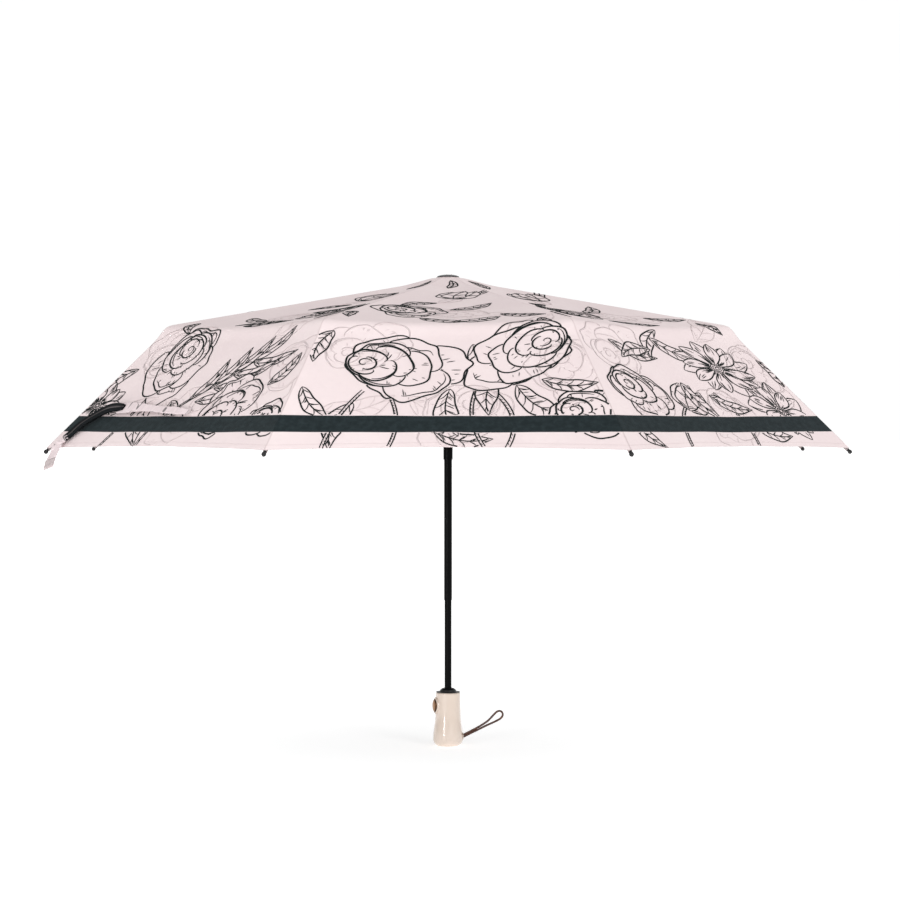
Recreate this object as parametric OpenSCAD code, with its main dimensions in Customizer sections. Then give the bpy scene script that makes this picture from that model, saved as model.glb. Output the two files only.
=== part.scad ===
// Three-fold automatic umbrella, shown open. Millimetres, +Z up, origin at the centre of the handle's flat base.
// Each of the eight ribs folds as a Z: the inner rib swings down, the middle rib folds back up over it and the
// outer rib folds down again. Every part is built in its own flat frame, x along the part and z on its upper side.

/* [Shaft] */
// Height of the crown hinges above the base
crown_z = 541; // [535:1:545]
// Outer radius of the lower tube, which is fixed in the handle
lower_tube_r = 4.1; // [4.0:0.05:4.2]
// Wall of each shaft tube
tube_wall = 0.5; // [0.4:0.05:0.55]
// Radial gap between one tube and the next
tube_gap = 0.05; // [0.02:0.01:0.1]
// Travel of each telescoping tube
tube_travel = 133; // [120:1:133]

/* [Handle] */
// Height of the handle shell
handle_h = 62; // [60:1:64]
// Radius of the handle at its top
handle_top_r = 14.5; // [14:0.1:15]
// Largest radius of the handle, near its base
handle_base_r = 17.4; // [17:0.1:18]
// Direction that the push button faces, from +X
button_azimuth = 200; // [190:1:210]
// Height of the push button's centre
button_z = 47; // [45:1:48]
// Travel of the push button
button_travel = 2.5; // [1.5:0.1:2.5]

/* [Ribs] */
// Radius of the hinge circle on the crown and on the runner
hinge_r = 15; // [15:0.5:16]
// Length of the inner rib, hinge to hinge
inner_len = 160; // [158:1:162]
// Length of the middle rib, hinge to hinge
middle_len = 167; // [165:1:168]
// Length of the outer rib, hinge to tip
outer_len = 193; // [190:1:200]
// Distance from the crown hinge to the stretcher's pivot, along the inner rib
strut_at = 90; // [88:1:92]
// Slope of the roof, below the horizontal
roof_slope = 10.2; // [9:0.1:12]
// Slope of the skirt, below the horizontal
skirt_slope = 44; // [42:1:47]

/* [Canopy] */
// Thickness of the canopy's solid
cloth = 0.8; // [0.6:0.1:1]
// How far the middle of a gore is drawn in
gore_sag = 7; // [4:0.5:9]
// How far the rim rises between two tips, along the slope
rim_scallop = 4; // [2:1:20]
// Width of the closure strap
strap_w = 14; // [12:1:16]

/* [Hidden] */
RIBS = 8;
SECTOR = 360 / RIBS;
FIRST_RIB = SECTOR / 2;
SIDES = ["1", "2", "3", "4", "5", "6", "7", "8"];
function each_rib(name) = [for (side = SIDES) str(name, "_", side)];

BLACK = "#141517";
CREAM = "#ecd9c9";
BLUSH = "#ecdcdc";
BRONZE = "#8a6446";
BROWN = "#4a2a1e";
STEEL = "#b9bcc0";

// Shaft tubes: each slides in the next one up.
middle_tube_in = lower_tube_r + tube_gap;
middle_tube_r = middle_tube_in + tube_wall;
upper_tube_in = middle_tube_r + tube_gap;
upper_tube_r = upper_tube_in + tube_wall + 0.3;
lower_tube_z = [14, 205];
middle_tube_z = [170, 369];
upper_tube_z = [334, crown_z + 2];

// Handle
seat_gap = 0.03;
housing_r = 11.6;
shell_bore_r = housing_r + 0.1;
base_cap_r = 12.4;
base_cap_h = 4;
collar_r = 9.8;
dome_h = 5;
cord_z = 11;
cord_d = 2.4;
grommet_r = 4.2;
grommet_tube_r = 3.4;
grommet_bore_r = 2.9;
button_half_h = 8;
button_half_w = 5.2;
button_face_r = 18.2;
button_back_r = 10;
spring_seat_r = 6.2;

// Rib sections, in the flat frame of an inner or middle rib whose hinge axis is at z = 0
rib_w = 4;
rib_top = -1.9;
rib_h = 3.3;
rib_bottom = rib_top - rib_h;
rib_wall = 0.5;
tab_t = 2.2;
tab_r = 1.5;
eye_r = 2;
ring_r = 0.55;
ring_bore_r = 0.65;
pin_r = 0.8;
pin_gap = 0.05;
lug_t = 1.6;
cheek_in = 1.0;
cheek_out = 1.6;
strut_drop = 7.1;
strut_w = 2.8;
knee_drop = 6;
rod_z = 2.8;
rod_r = 1.2;
tip_r = 2.4;
wire_r = 0.6;
fold = 90 - roof_slope;

// Runner hinge height when open: the stretcher and the inner rib are the equal sides of an isosceles triangle.
strut_len = sqrt(strut_at * strut_at + strut_drop * strut_drop);
strut_angle = roof_slope + atan(strut_drop / strut_at);
runner_z = crown_z - 2 * strut_len * sin(strut_angle);
slot_w = 2.8;
crown_slot_r = 10.5;
runner_slot_r = 7.3;
hub_r = 16.1;
flange_t = 7;

// ---------- placing ----------

// Puts a part built in its flat frame at radius r and height z of rib i, sloping down by slope.
module on_rib(i, r, z, slope) {
    rotate([0, 0, FIRST_RIB + SECTOR * i])
        translate([r, 0, z])
            rotate([0, slope, 0])
                children();
}

// A point at x along and h above a line that leaves [r, z] and slopes down.
function along(from, slope, x, h) = [
    from[0] + x * cos(slope) + h * sin(slope),
    from[1] - x * sin(slope) + h * cos(slope)
];
crown_hinge = [hinge_r, crown_z];
elbow = along(crown_hinge, roof_slope, inner_len, 0);
knee = along(crown_hinge, roof_slope, inner_len + middle_len, -knee_drop);
strut_pivot = along(crown_hinge, roof_slope, strut_at, -strut_drop);

// An upright plate of thickness t about the rib's middle plane, from an outline in x and z.
module plate(outline, t) {
    rotate([90, 0, 0])
        linear_extrude(height = t, center = true)
            polygon(outline);
}

// A round bar across the rib, centred on its middle plane.
module across(x, z, r, length) {
    translate([x, 0, z])
        rotate([90, 0, 0])
            cylinder(r = r, h = length, center = true, $fn = 32);
}

// A channel open on its under side, from x0 to x1.
module channel(x0, x1) {
    difference() {
        translate([x0, -rib_w / 2, rib_bottom])
            cube([x1 - x0, rib_w, rib_h]);
        translate([x0 - 1, rib_wall - rib_w / 2, rib_bottom - 1])
            cube([x1 - x0 + 2, rib_w - 2 * rib_wall, rib_h - rib_wall + 1]);
    }
}

// ---------- ribs ----------

module inner_rib(i) {
    ear_half = 3;
    color(BLACK)
        on_rib(i, hinge_r, crown_z, roof_slope)
            difference() {
                union() {
                    channel(9, inner_len - 5);
                    across(0, 0, tab_r, tab_t);
                    plate([[0, tab_r], [9, rib_top], [13, rib_top], [13, rib_bottom], [6, rib_bottom],
                           [-0.6, -1.3]], tab_t);
                    plate([[inner_len - 10, rib_bottom], [inner_len - 3, rib_bottom], [inner_len + 1.4, -1],
                           [inner_len + 1.4, 1], [inner_len - 1.4, 1.1], [inner_len - 5, rib_top],
                           [inner_len - 10, rib_top]], lug_t);
                    across(inner_len, 0, pin_r, 2 * cheek_out + 0.6);
                    for (side = [-1, 1])
                        translate([0, side * (rib_w / 2 + 0.2), 0])
                            plate([[strut_at - 2 * ear_half, -3], [strut_at + 2 * ear_half, -3],
                                   [strut_at + ear_half, -strut_drop - 1.2],
                                   [strut_at - ear_half, -strut_drop - 1.2]], 0.6);
                    across(strut_at, -strut_drop, pin_r, rib_w + 1.4);
                }
                across(0, 0, ring_bore_r, tab_t + 1);
            }
}

module stretcher(i) {
    crank_x = strut_at - 13;
    half = strut_w / 2;
    color(BLACK)
        on_rib(i, strut_pivot[0], strut_pivot[1], 180 - roof_slope)
            difference() {
                union() {
                    translate([0, -half, -half])
                        cube([crank_x, strut_w, strut_w]);
                    across(0, 0, half + 0.2, strut_w);
                    plate([[crank_x - 6, -half], [crank_x, -half], [strut_at + 1, strut_drop - 2],
                           [strut_at - 1.6, strut_drop + 1.5], [crank_x - 3, half], [crank_x - 6, half]], tab_t);
                    across(strut_at, strut_drop, eye_r, tab_t);
                }
                across(0, 0, pin_r + pin_gap, strut_w + 1);
                across(strut_at, strut_drop, ring_bore_r, tab_t + 1);
                translate([5, -half + 0.5, -half - 1])
                    cube([crank_x - 14, strut_w - 1, strut_w + 0.5]);
            }
}

// Two cheeks from an outline in x and z, one each side of a lug.
module cheeks(outline) {
    for (side = [-1, 1])
        translate([0, side * (cheek_in + cheek_out) / 2, 0])
            plate(outline, cheek_out - cheek_in);
}

module middle_rib(i) {
    color(BLACK)
        on_rib(i, elbow[0], elbow[1], roof_slope)
            difference() {
                union() {
                    channel(8, middle_len - 8);
                    cheeks([[-1.5, 1.1], [1.5, 1.1], [7, rib_top], [12, rib_top], [12, rib_bottom], [7, rib_bottom],
                            [2.6, -4], [-1.5, -1.1]]);
                    cheeks([[middle_len - 12, rib_top], [middle_len - 4, rib_top], [middle_len + 1.6, -5],
                            [middle_len + 1.2, -knee_drop - 1], [middle_len - 2, -knee_drop - 1],
                            [middle_len - 8, rib_bottom], [middle_len - 12, rib_bottom]]);
                    across(middle_len, -knee_drop, pin_r, 2 * cheek_out + 0.6);
                }
                across(0, 0, pin_r + pin_gap, rib_w + 1);
            }
}

// The spring-steel wire that lies in the middle rib's channel and turns the outer rib.
module control_wire(i) {
    wire_z = rib_top - rib_wall - wire_r - pin_gap;
    color(STEEL)
        on_rib(i, elbow[0], elbow[1], roof_slope)
            translate([7, 0, wire_z])
                rotate([0, 90, 0])
                    cylinder(r = wire_r, h = middle_len - 14, $fn = 24);
}

// A round rod on a root lug, with the tip cap that the canopy is sewn to as a solid of its own.
module outer_rib(i) {
    cap_x = outer_len - 9;
    cap_end = cap_x + 11.5;
    color(BLACK)
        on_rib(i, knee[0], knee[1], skirt_slope) {
            difference() {
                union() {
                    plate([[-1.5, -1], [0, -1.6], [2, -1.4], [9, rod_z - 0.8], [9, rod_z + 0.8], [4, rod_z + 1],
                           [-1, 1.5]], lug_t);
                    translate([7, 0, rod_z])
                        rotate([0, 90, 0])
                            cylinder(r = rod_r, h = cap_x - 3, $fn = 32);
                }
                across(0, 0, pin_r + pin_gap, lug_t + 1);
            }
            translate([0, 0, rod_z])
                rotate([0, 90, 0])
                    rotate_extrude($fn = 32)
                        polygon([[rod_r, cap_x], [1.7, cap_x], [1.7, cap_end - 4], [tip_r, cap_end - 3.2],
                                 [tip_r, cap_end - 1.4], [1.4, cap_end], [0, cap_end], [0, cap_x + 4],
                                 [rod_r, cap_x + 4]]);
        }
}

// ---------- shaft ----------

module tube(r, wall, z) {
    translate([0, 0, z[0]])
        difference() {
            cylinder(r = r, h = z[1] - z[0], $fn = 64);
            translate([0, 0, -1])
                cylinder(r = r - wall, h = z[1] - z[0] + 2, $fn = 64);
        }
}

module lower_tube() {
    color(BLACK) tube(lower_tube_r, tube_wall, lower_tube_z);
}

module middle_tube() {
    color(BLACK) tube(middle_tube_r, tube_wall, middle_tube_z);
}

module upper_tube() {
    color(BLACK) tube(upper_tube_r, upper_tube_r - upper_tube_in, upper_tube_z);
}

// A disc with a slot to each rib, from slot_r outwards, and a groove for the hinge ring.
module hinge_disc(slot_r, z0, z1, hinge_z) {
    difference() {
        translate([0, 0, z0])
            cylinder(r = hub_r, h = z1 - z0, $fn = 96);
        for (i = [0 : RIBS - 1])
            rotate([0, 0, FIRST_RIB + SECTOR * i])
                translate([slot_r, -slot_w / 2, z0 - 1])
                    cube([hub_r, slot_w, z1 - z0 + 2]);
        translate([0, 0, hinge_z])
            rotate_extrude($fn = 96)
                translate([hinge_r, 0])
                    circle(r = ring_r + pin_gap, $fn = 24);
    }
}

module crown() {
    neck_z = crown_z - 11;
    disc_z = crown_z - 3.5;
    top_z = crown_z + 3.4;
    color(BLACK)
        difference() {
            union() {
                hinge_disc(crown_slot_r, disc_z, top_z, crown_z);
                translate([0, 0, neck_z])
                    cylinder(r = 8, h = disc_z - neck_z, $fn = 64);
            }
            translate([0, 0, neck_z - 1])
                cylinder(r = upper_tube_r + seat_gap, h = upper_tube_z[1] - neck_z + 1, $fn = 64);
            cylinder(r = 2.5, h = top_z + 1, $fn = 48);
        }
}

module crown_ring() {
    color(STEEL)
        translate([0, 0, crown_z])
            rotate_extrude($fn = 96)
                translate([hinge_r, 0])
                    circle(r = ring_r, $fn = 24);
}

module runner() {
    sleeve_r = 8.3;
    sleeve_h = 22.5;
    flange_z = runner_z - flange_t / 2;
    sleeve_z = flange_z + 1 - sleeve_h;
    color(BLACK)
        difference() {
            union() {
                hinge_disc(runner_slot_r, flange_z, flange_z + flange_t, runner_z);
                translate([0, 0, sleeve_z])
                    cylinder(r = sleeve_r, h = sleeve_h, $fn = 64);
                for (z = [sleeve_z, sleeve_z + 8])
                    translate([0, 0, z])
                        cylinder(r = sleeve_r + 1.2, h = 3, $fn = 64);
            }
            translate([0, 0, sleeve_z - 1])
                cylinder(r = upper_tube_r + tube_gap, h = sleeve_h + flange_t + 2, $fn = 64);
        }
}

// The runner's hinge wire, open at each slot so that the stretchers' ends are free to leave it.
module runner_ring() {
    color(STEEL)
        difference() {
            translate([0, 0, runner_z])
                rotate_extrude($fn = 96)
                    translate([hinge_r, 0])
                        circle(r = ring_r, $fn = 24);
            for (i = [0 : RIBS - 1])
                rotate([0, 0, FIRST_RIB + SECTOR * i])
                    translate([runner_slot_r, -slot_w / 2, runner_z - 2])
                        cube([hub_r, slot_w, 4]);
        }
}

module fabric_rosette() {
    color(BLUSH)
        translate([0, 0, crown_z + 5.1])
            difference() {
                cylinder(r = 14.2, h = 0.6, $fn = 64);
                translate([0, 0, -1])
                    cylinder(r = 3.2, h = 3, $fn = 48);
            }
}

module top_cap() {
    cap_r = 12.8;
    cap_z = crown_z + 5.8;
    color(BLACK)
        rotate_extrude($fn = 96)
            polygon([[0, crown_z + 2.2], [2.45, crown_z + 2.2], [2.45, cap_z], [cap_r, cap_z], [cap_r, cap_z + 1.2],
                     [10, cap_z + 2.4], [6, cap_z + 3.1], [0, cap_z + 3.2]]);
}

// ---------- springs ----------

// A helical wire: a tube of SIDES_OF_WIRE faces carried along a helix about Z.
SIDES_OF_WIRE = 6;
STEPS_PER_TURN = 12;
function helix_ring(r, wire, lead, turn) = [
    for (k = [0 : SIDES_OF_WIRE - 1])
        let (a = 360 * turn, b = 360 * k / SIDES_OF_WIRE)
            [(r + wire * cos(b)) * cos(a), (r + wire * cos(b)) * sin(a), lead * turn + wire * sin(b)]
];
module helix(r, wire, turns, height) {
    rings = turns * STEPS_PER_TURN;
    swept_tube([for (i = [0 : rings]) helix_ring(r, wire, (height - 2 * wire) / turns, i / STEPS_PER_TURN)]);
}

// One closed skin over a list of rings, each with the same number of points.
module swept_tube(rings) {
    n = len(rings[0]);
    last = len(rings) - 1;
    polyhedron(
        points = [for (ring = rings) each ring],
        faces = concat(
            [for (i = [0 : last - 1], k = [0 : n - 1])
                each [[i * n + k, i * n + (k + 1) % n, (i + 1) * n + k],
                      [i * n + (k + 1) % n, (i + 1) * n + (k + 1) % n, (i + 1) * n + k]]],
            [[for (k = [n - 1 : -1 : 0]) k]],
            [[for (k = [0 : n - 1]) last * n + k]]));
}

module main_spring() {
    color(STEEL)
        translate([0, 0, 19])
            helix(r = 2.8, wire = 0.45, turns = 22, height = 182);
}

module button_spring() {
    color(STEEL)
        rotate([0, 0, button_azimuth])
            translate([spring_seat_r + 0.3, 0, button_z])
                rotate([0, 90, 0])
                    helix(r = 2, wire = 0.25, turns = 4, height = button_back_r - spring_seat_r - 0.4);
}

// ---------- handle ----------

// Half section of the outer skin: a flat base with a round corner, a waist and a slightly narrower top.
corner_r = 7;
handle_skin = concat(
    [for (a = [-90 : 15 : 0])
        [handle_base_r - corner_r + corner_r * cos(a), corner_r + corner_r * sin(a)]],
    [for (t = [0 : 0.1 : 1])
        let (s = t * t * (3 - 2 * t))
            [handle_base_r + (handle_top_r + 0.3 - handle_base_r) * s, corner_r + 3 + (34 - corner_r) * t]],
    [[handle_top_r, handle_h - 1], [handle_top_r - 0.8, handle_h]]);

// The button's outline: the lens where two round bars meet, from r0 to r1 along the button's axis.
lens_r = (button_half_h * button_half_h + button_half_w * button_half_w) / (2 * button_half_w);
module lens(r0, r1, grow) {
    rotate([0, 0, button_azimuth])
        translate([r0, 0, button_z])
            rotate([0, 90, 0])
                intersection_for (side = [-1, 1])
                    translate([0, side * (lens_r - button_half_w), 0])
                        cylinder(r = lens_r + grow, h = r1 - r0, $fn = 96);
}

module handle_shell() {
    color(CREAM)
        difference() {
            union() {
                rotate_extrude($fn = 96)
                    polygon(concat([[0, 0]], handle_skin, [[0, handle_h]]));
                intersection() {
                    lens(12, handle_top_r + 2.2, 1.5);
                    cylinder(r = handle_top_r + 2, h = handle_h, $fn = 96);
                }
            }
            translate([0, 0, -1])
                cylinder(r = base_cap_r + seat_gap, h = base_cap_h + 1, $fn = 64);
            translate([0, 0, 1])
                cylinder(r = shell_bore_r, h = handle_h, $fn = 64);
            lens(5, 30, 0.25);
            translate([0, 0, cord_z])
                rotate([0, 90, 0])
                    cylinder(r = grommet_tube_r + seat_gap, h = 30, $fn = 48);
        }
}

module base_cap() {
    color(CREAM)
        cylinder(r = base_cap_r, h = base_cap_h, $fn = 64);
}

module mechanism_housing() {
    floor_z = 18;
    color(BLACK)
        difference() {
            union() {
                translate([0, 0, floor_z])
                    cylinder(r = housing_r, h = handle_h - floor_z, $fn = 64);
                rotate_extrude($fn = 96)
                    polygon([[4, handle_h - 1], [housing_r, handle_h - 1], [housing_r, handle_h],
                             [handle_top_r - 1, handle_h], [handle_top_r - 0.4, handle_h + 0.9],
                             [collar_r, handle_h + 1], [collar_r - 0.6, handle_h + dome_h - 2],
                             [collar_r - 2.4, handle_h + dome_h - 0.5], [6.5, handle_h + dome_h],
                             [4, handle_h + dome_h]]);
            }
            translate([0, 0, floor_z - 1])
                cylinder(r = lower_tube_r + seat_gap, h = handle_h, $fn = 64);
            translate([0, 0, 34])
                cylinder(r = middle_tube_r + 0.1, h = handle_h, $fn = 64);
            lens(button_back_r - button_travel - 0.5, 30, 0.25);
            rotate([0, 0, button_azimuth])
                translate([spring_seat_r, 0, button_z])
                    rotate([0, 90, 0])
                        cylinder(r = 2.6, h = 10, $fn = 48);
        }
}

module push_button() {
    dome_r = 24;
    color(BRONZE)
        intersection() {
            lens(button_back_r, button_face_r + 1, 0);
            rotate([0, 0, button_azimuth])
                translate([button_face_r - dome_r, 0, button_z])
                    sphere(r = dome_r, $fn = 96);
        }
}

module cord_grommet() {
    color(CREAM)
        translate([0, 0, cord_z])
            rotate([0, 90, 0])
                rotate_extrude($fn = 48)
                    polygon([[grommet_bore_r, 13], [grommet_tube_r, 13], [grommet_tube_r, handle_base_r + 0.1],
                             [grommet_r, handle_base_r + 0.1], [grommet_r, handle_base_r + 0.6],
                             [grommet_bore_r, handle_base_r + 0.6]]);
}

module cord_knot() {
    color(BROWN)
        translate([9.2, 0, cord_z])
            rotate([0, 90, 0])
                rotate_extrude($fn = 32)
                    polygon([[0, -2.6], [2, -2.2], [2.9, 0], [2, 2.2], [0, 2.6]]);
}

// The wrist cord leaves the grommet low, runs out and up, turns in a round head and comes back above itself.
CORD_SIDES = 8;
cord_route = [
    [18, 0, 9.8], [22, 0, 11.9], [26, 0, 13.9], [30, 0, 15.9], [34, 0, 17.8], [38, 0, 19.8], [42, 0, 21.8],
    [46, 0, 23.7], [50, 0, 25.5], [54, 0, 27.3], [58, 0, 29.3], [61, 0, 31.2], [63.2, 0, 33.5], [64, 0, 36.2],
    [62.9, 0, 38.9], [60.3, 0, 40.2], [57.4, 0, 39.4], [54.8, 0, 37.2], [52, 0, 34.2], [49, 0, 31], [46, 0, 28.2],
    [42, 0, 25.4], [38, 0, 22.9], [34, 0, 20.6], [30, 0, 18.5], [26, 0, 16.5], [22, 0, 14.4], [18, 0, 12.3]
];
function unit(v) = v / norm(v);
function cord_ring(i) =
    let (before = cord_route[max(i - 1, 0)], after = cord_route[min(i + 1, len(cord_route) - 1)],
         ahead = unit(after - before), side = [0, 1, 0], up = cross(ahead, side))
    [for (k = [0 : CORD_SIDES - 1])
        let (a = 360 * k / CORD_SIDES)
            cord_route[i] + cord_d / 2 * (cos(a) * side + sin(a) * up)];

module wrist_cord() {
    color(BROWN)
        swept_tube([for (i = [0 : len(cord_route) - 1]) cord_ring(i)]);
}

// ---------- canopy ----------

// The cloth's line over a rib, from the crown to the rim, as [radius, height] of its under side.
rib_lift = 1.7;
rod_lift = rod_z + rod_r + 0.9;
rim_x = outer_len - 3;
rib_line = [
    [3.6, crown_z + 4.2], [18.2, crown_z + 4],
    along(crown_hinge, roof_slope, 40, rib_lift),
    along(crown_hinge, roof_slope, 100, rib_lift),
    along(crown_hinge, roof_slope, inner_len, rib_lift),
    along(crown_hinge, roof_slope, inner_len + 75, rib_lift),
    along(crown_hinge, roof_slope, inner_len + middle_len - 9, rib_lift),
    along(knee, (roof_slope + skirt_slope) / 2, 2, rod_lift + 2.4),
    along(knee, skirt_slope, 14, rod_lift),
    along(knee, skirt_slope, 80, rod_lift),
    along(knee, skirt_slope, 140, rod_lift),
    along(knee, skirt_slope, rim_x, rod_lift)
];
ROWS = len(rib_line);
GORE_STEPS = 6;

// A point of the cloth: row of rib_line, v from -1 to 1 across a gore, and lift off the under side.
// Between ribs the cloth is a chord drawn in by a parabola, and its rim is cut to a shallow arch.
function bay(v) = 1 - v * v;
function cloth_point(row, v, lift) =
    let (share = max(row - 1, 0) / (ROWS - 2), at = rib_line[row], r = at[0],
         drawn = gore_sag * bay(v) * sin(180 * share),
         rise = row == ROWS - 1 ? rim_scallop * bay(v) : 0)
    [r * cos(SECTOR / 2) - drawn * 0.5 - rise * cos(skirt_slope) + lift * 0.4 * share,
     (r - rise * cos(skirt_slope)) * sin(SECTOR / 2) * v,
     at[1] - drawn * (1 - 0.5 * share) + rise * sin(skirt_slope) + lift];
function turned(p, a) = [p[0] * cos(a) - p[1] * sin(a), p[0] * sin(a) + p[1] * cos(a), p[2]];
ROUND = RIBS * GORE_STEPS;
function cloth_ring(row, lift) = [
    for (g = [0 : RIBS - 1], k = [0 : GORE_STEPS - 1])
        turned(cloth_point(row, 2 * k / GORE_STEPS - 1, lift), SECTOR * (g + 1))
];

// The whole cover as one closed skin: down the upper side, round the rim and back up the under side.
module canopy() {
    rings = concat([for (row = [0 : ROWS - 1]) cloth_ring(row, cloth)],
                   [for (row = [ROWS - 1 : -1 : 0]) cloth_ring(row, 0)]);
    total = len(rings);
    color(BLUSH)
        polyhedron(
            points = [for (ring = rings) each ring],
            faces = [for (i = [0 : total - 1], k = [0 : ROUND - 1])
                let (a = i * ROUND + k, b = i * ROUND + (k + 1) % ROUND,
                     c = ((i + 1) % total) * ROUND + k, d = ((i + 1) % total) * ROUND + (k + 1) % ROUND)
                each [[a, c, b], [b, c, d]]]);
}

// The closure strap: a soft strip that lies on the gore between ribs 5 and 6 and hangs over the rim.
// Each station is [down the slope from the knees, across from the gore's middle, height off the cloth].
strap_stations = [
    [133, 24, 2.4], [130, 0, 2.2], [127, -32, 2], [125, -64, 2], [125, -92, 2.2], [127, -115, 2.4],
    [136, -131, 2.4], [150, -143, 2.4], [164, -150, 2.4], [177, -157, 3], [190, -155, 3.6], [216, -144, 3]
];
strap_t = 1.2;
panel_slope = atan(tan(skirt_slope) / cos(SECTOR / 2));
strap_rib = 5;
function strap_ring(i) =
    let (here = strap_stations[i], before = strap_stations[max(i - 1, 0)],
         after = strap_stations[min(i + 1, len(strap_stations) - 1)],
         ahead = unit([after[0] - before[0], after[1] - before[1], 0]), side = cross(ahead, [0, 0, 1]))
    [here - side * strap_w / 2, here + side * strap_w / 2, here + side * strap_w / 2 + [0, 0, strap_t],
     here - side * strap_w / 2 + [0, 0, strap_t]];

module closure_strap() {
    knee_line = along(knee, skirt_slope, 0, rod_lift + cloth);
    color(BLACK)
        rotate([0, 0, SECTOR * strap_rib])
            translate([knee_line[0] * cos(SECTOR / 2), 0, knee_line[1]])
                rotate([0, panel_slope, 0])
                    swept_tube([for (i = [0 : len(strap_stations) - 1]) strap_ring(i)]);
}

// ---------- nodes ----------

handle_shell();
base_cap();
mechanism_housing();
cord_grommet();
cord_knot();
wrist_cord();
push_button();
button_spring();
main_spring();
lower_tube();
middle_tube();
upper_tube();
crown();
crown_ring();
fabric_rosette();
top_cap();
runner();
runner_ring();
canopy();
closure_strap();
for (i = [0 : RIBS - 1]) {
    inner_rib(i);
    stretcher(i);
    middle_rib(i);
    outer_rib(i);
    control_wire(i);
}
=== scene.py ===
"""A three-fold automatic umbrella, standing open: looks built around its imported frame, in metres."""

import math

import bpy
import numpy as np
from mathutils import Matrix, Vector


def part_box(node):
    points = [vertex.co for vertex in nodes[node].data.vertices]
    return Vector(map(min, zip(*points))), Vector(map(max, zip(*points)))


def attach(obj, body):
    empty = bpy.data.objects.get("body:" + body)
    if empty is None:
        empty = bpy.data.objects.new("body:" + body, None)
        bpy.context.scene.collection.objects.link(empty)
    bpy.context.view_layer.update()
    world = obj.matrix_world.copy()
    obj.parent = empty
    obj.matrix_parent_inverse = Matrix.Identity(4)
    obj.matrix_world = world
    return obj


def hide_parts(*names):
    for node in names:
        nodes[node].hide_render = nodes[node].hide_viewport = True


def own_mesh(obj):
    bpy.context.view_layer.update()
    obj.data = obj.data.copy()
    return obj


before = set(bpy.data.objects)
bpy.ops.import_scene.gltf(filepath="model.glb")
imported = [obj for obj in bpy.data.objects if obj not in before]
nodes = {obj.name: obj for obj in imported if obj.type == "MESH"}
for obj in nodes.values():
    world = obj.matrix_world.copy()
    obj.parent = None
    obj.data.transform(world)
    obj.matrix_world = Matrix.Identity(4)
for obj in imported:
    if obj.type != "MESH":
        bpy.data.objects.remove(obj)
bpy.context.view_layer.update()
MM = 0.001


# ---------- Stage ----------
# A plain pale floor that the handle stands on, a pale room of even light whose left wall is a little
# darker, a soft light at the front and right, and a narrow one at the left that draws a gleam down the
# handle.

FLOOR_SIDE = 60.0
FLOOR_DROP = 0.0005
floor_mesh = bpy.data.meshes.new("floor")
floor_corners = [
    (x * FLOOR_SIDE, y * FLOOR_SIDE, -FLOOR_DROP) for x, y in ((-1, -1), (1, -1), (1, 1), (-1, 1))
]
floor_mesh.from_pydata(floor_corners, [], [(0, 1, 2, 3)])
floor = bpy.data.objects.new("floor", floor_mesh)
bpy.context.collection.objects.link(floor)

camera_data = bpy.data.cameras.new("camera")
camera_data.sensor_width = 36
camera_data.lens = 99.56
camera_data.shift_y = -0.025
camera = bpy.data.objects.new("camera", camera_data)
bpy.context.collection.objects.link(camera)
camera.location = (0.0023, -2.910, 0.3715)
camera.rotation_euler = (math.pi / 2, 0, 0)
bpy.context.scene.camera = camera

room = bpy.data.worlds.new("room")
bpy.context.scene.world = room
room.use_nodes = True
room.node_tree.nodes["Background"].inputs["Strength"].default_value = 1.01
bpy.context.scene.view_settings.view_transform = "Standard"


def soft_light(name, place, aim, size, power):
    """A soft box of size, [width, height], at place, facing aim."""
    data = bpy.data.lights.new(name, "AREA")
    data.shape = "RECTANGLE"
    data.size, data.size_y = size
    data.energy = power
    lamp = bpy.data.objects.new(name, data)
    bpy.context.collection.objects.link(lamp)
    lamp.location = place
    lamp.rotation_euler = (Vector(aim) - Vector(place)).to_track_quat("-Z", "Y").to_euler()


soft_light("key_box", (1.9, -3.0, 1.3), (0, 0, 0.4), (1.2, 1.2), 27)
soft_light("handle_box", (-0.79, -1.27, 0.22), (0, 0, 0.03), (0.07, 0.42), 5)


class Wire:
    """A number or a node's output in one material, on which + - and * add Math nodes."""

    def __init__(self, maker, value):
        self.maker, self.value = maker, value

    def _sum(self, operation, *others):
        return self.maker.node("ShaderNodeMath", {"operation": operation}, self, *others)[0]

    def __add__(self, other):
        return self._sum("ADD", other)

    def __sub__(self, other):
        return self._sum("SUBTRACT", other)

    def __mul__(self, other):
        return self._sum("MULTIPLY", other)

    def __rsub__(self, other):
        return Wire(self.maker, other)._sum("SUBTRACT", self)

    __radd__, __rmul__ = __add__, __mul__

    def step(self, low, high):
        """0 below low, 1 above high, and a smooth rise between."""
        out = self.maker.node(
            "ShaderNodeMapRange", {"interpolation_type": "SMOOTHSTEP"}, self, low, high, 0.0, 1.0
        )
        return out[0]

    def wave(self, pitch):
        """A sine of this length per wave, from -1 to 1."""
        return (self * (2 * math.pi / pitch))._sum("SINE")

    def part(self):
        """The part after the decimal point."""
        return self._sum("FRACT")

    def root(self):
        """Its square root."""
        return self._sum("SQRT")

    def flat(self):
        """Its size without its sign."""
        return self._sum("ABSOLUTE")


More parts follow.
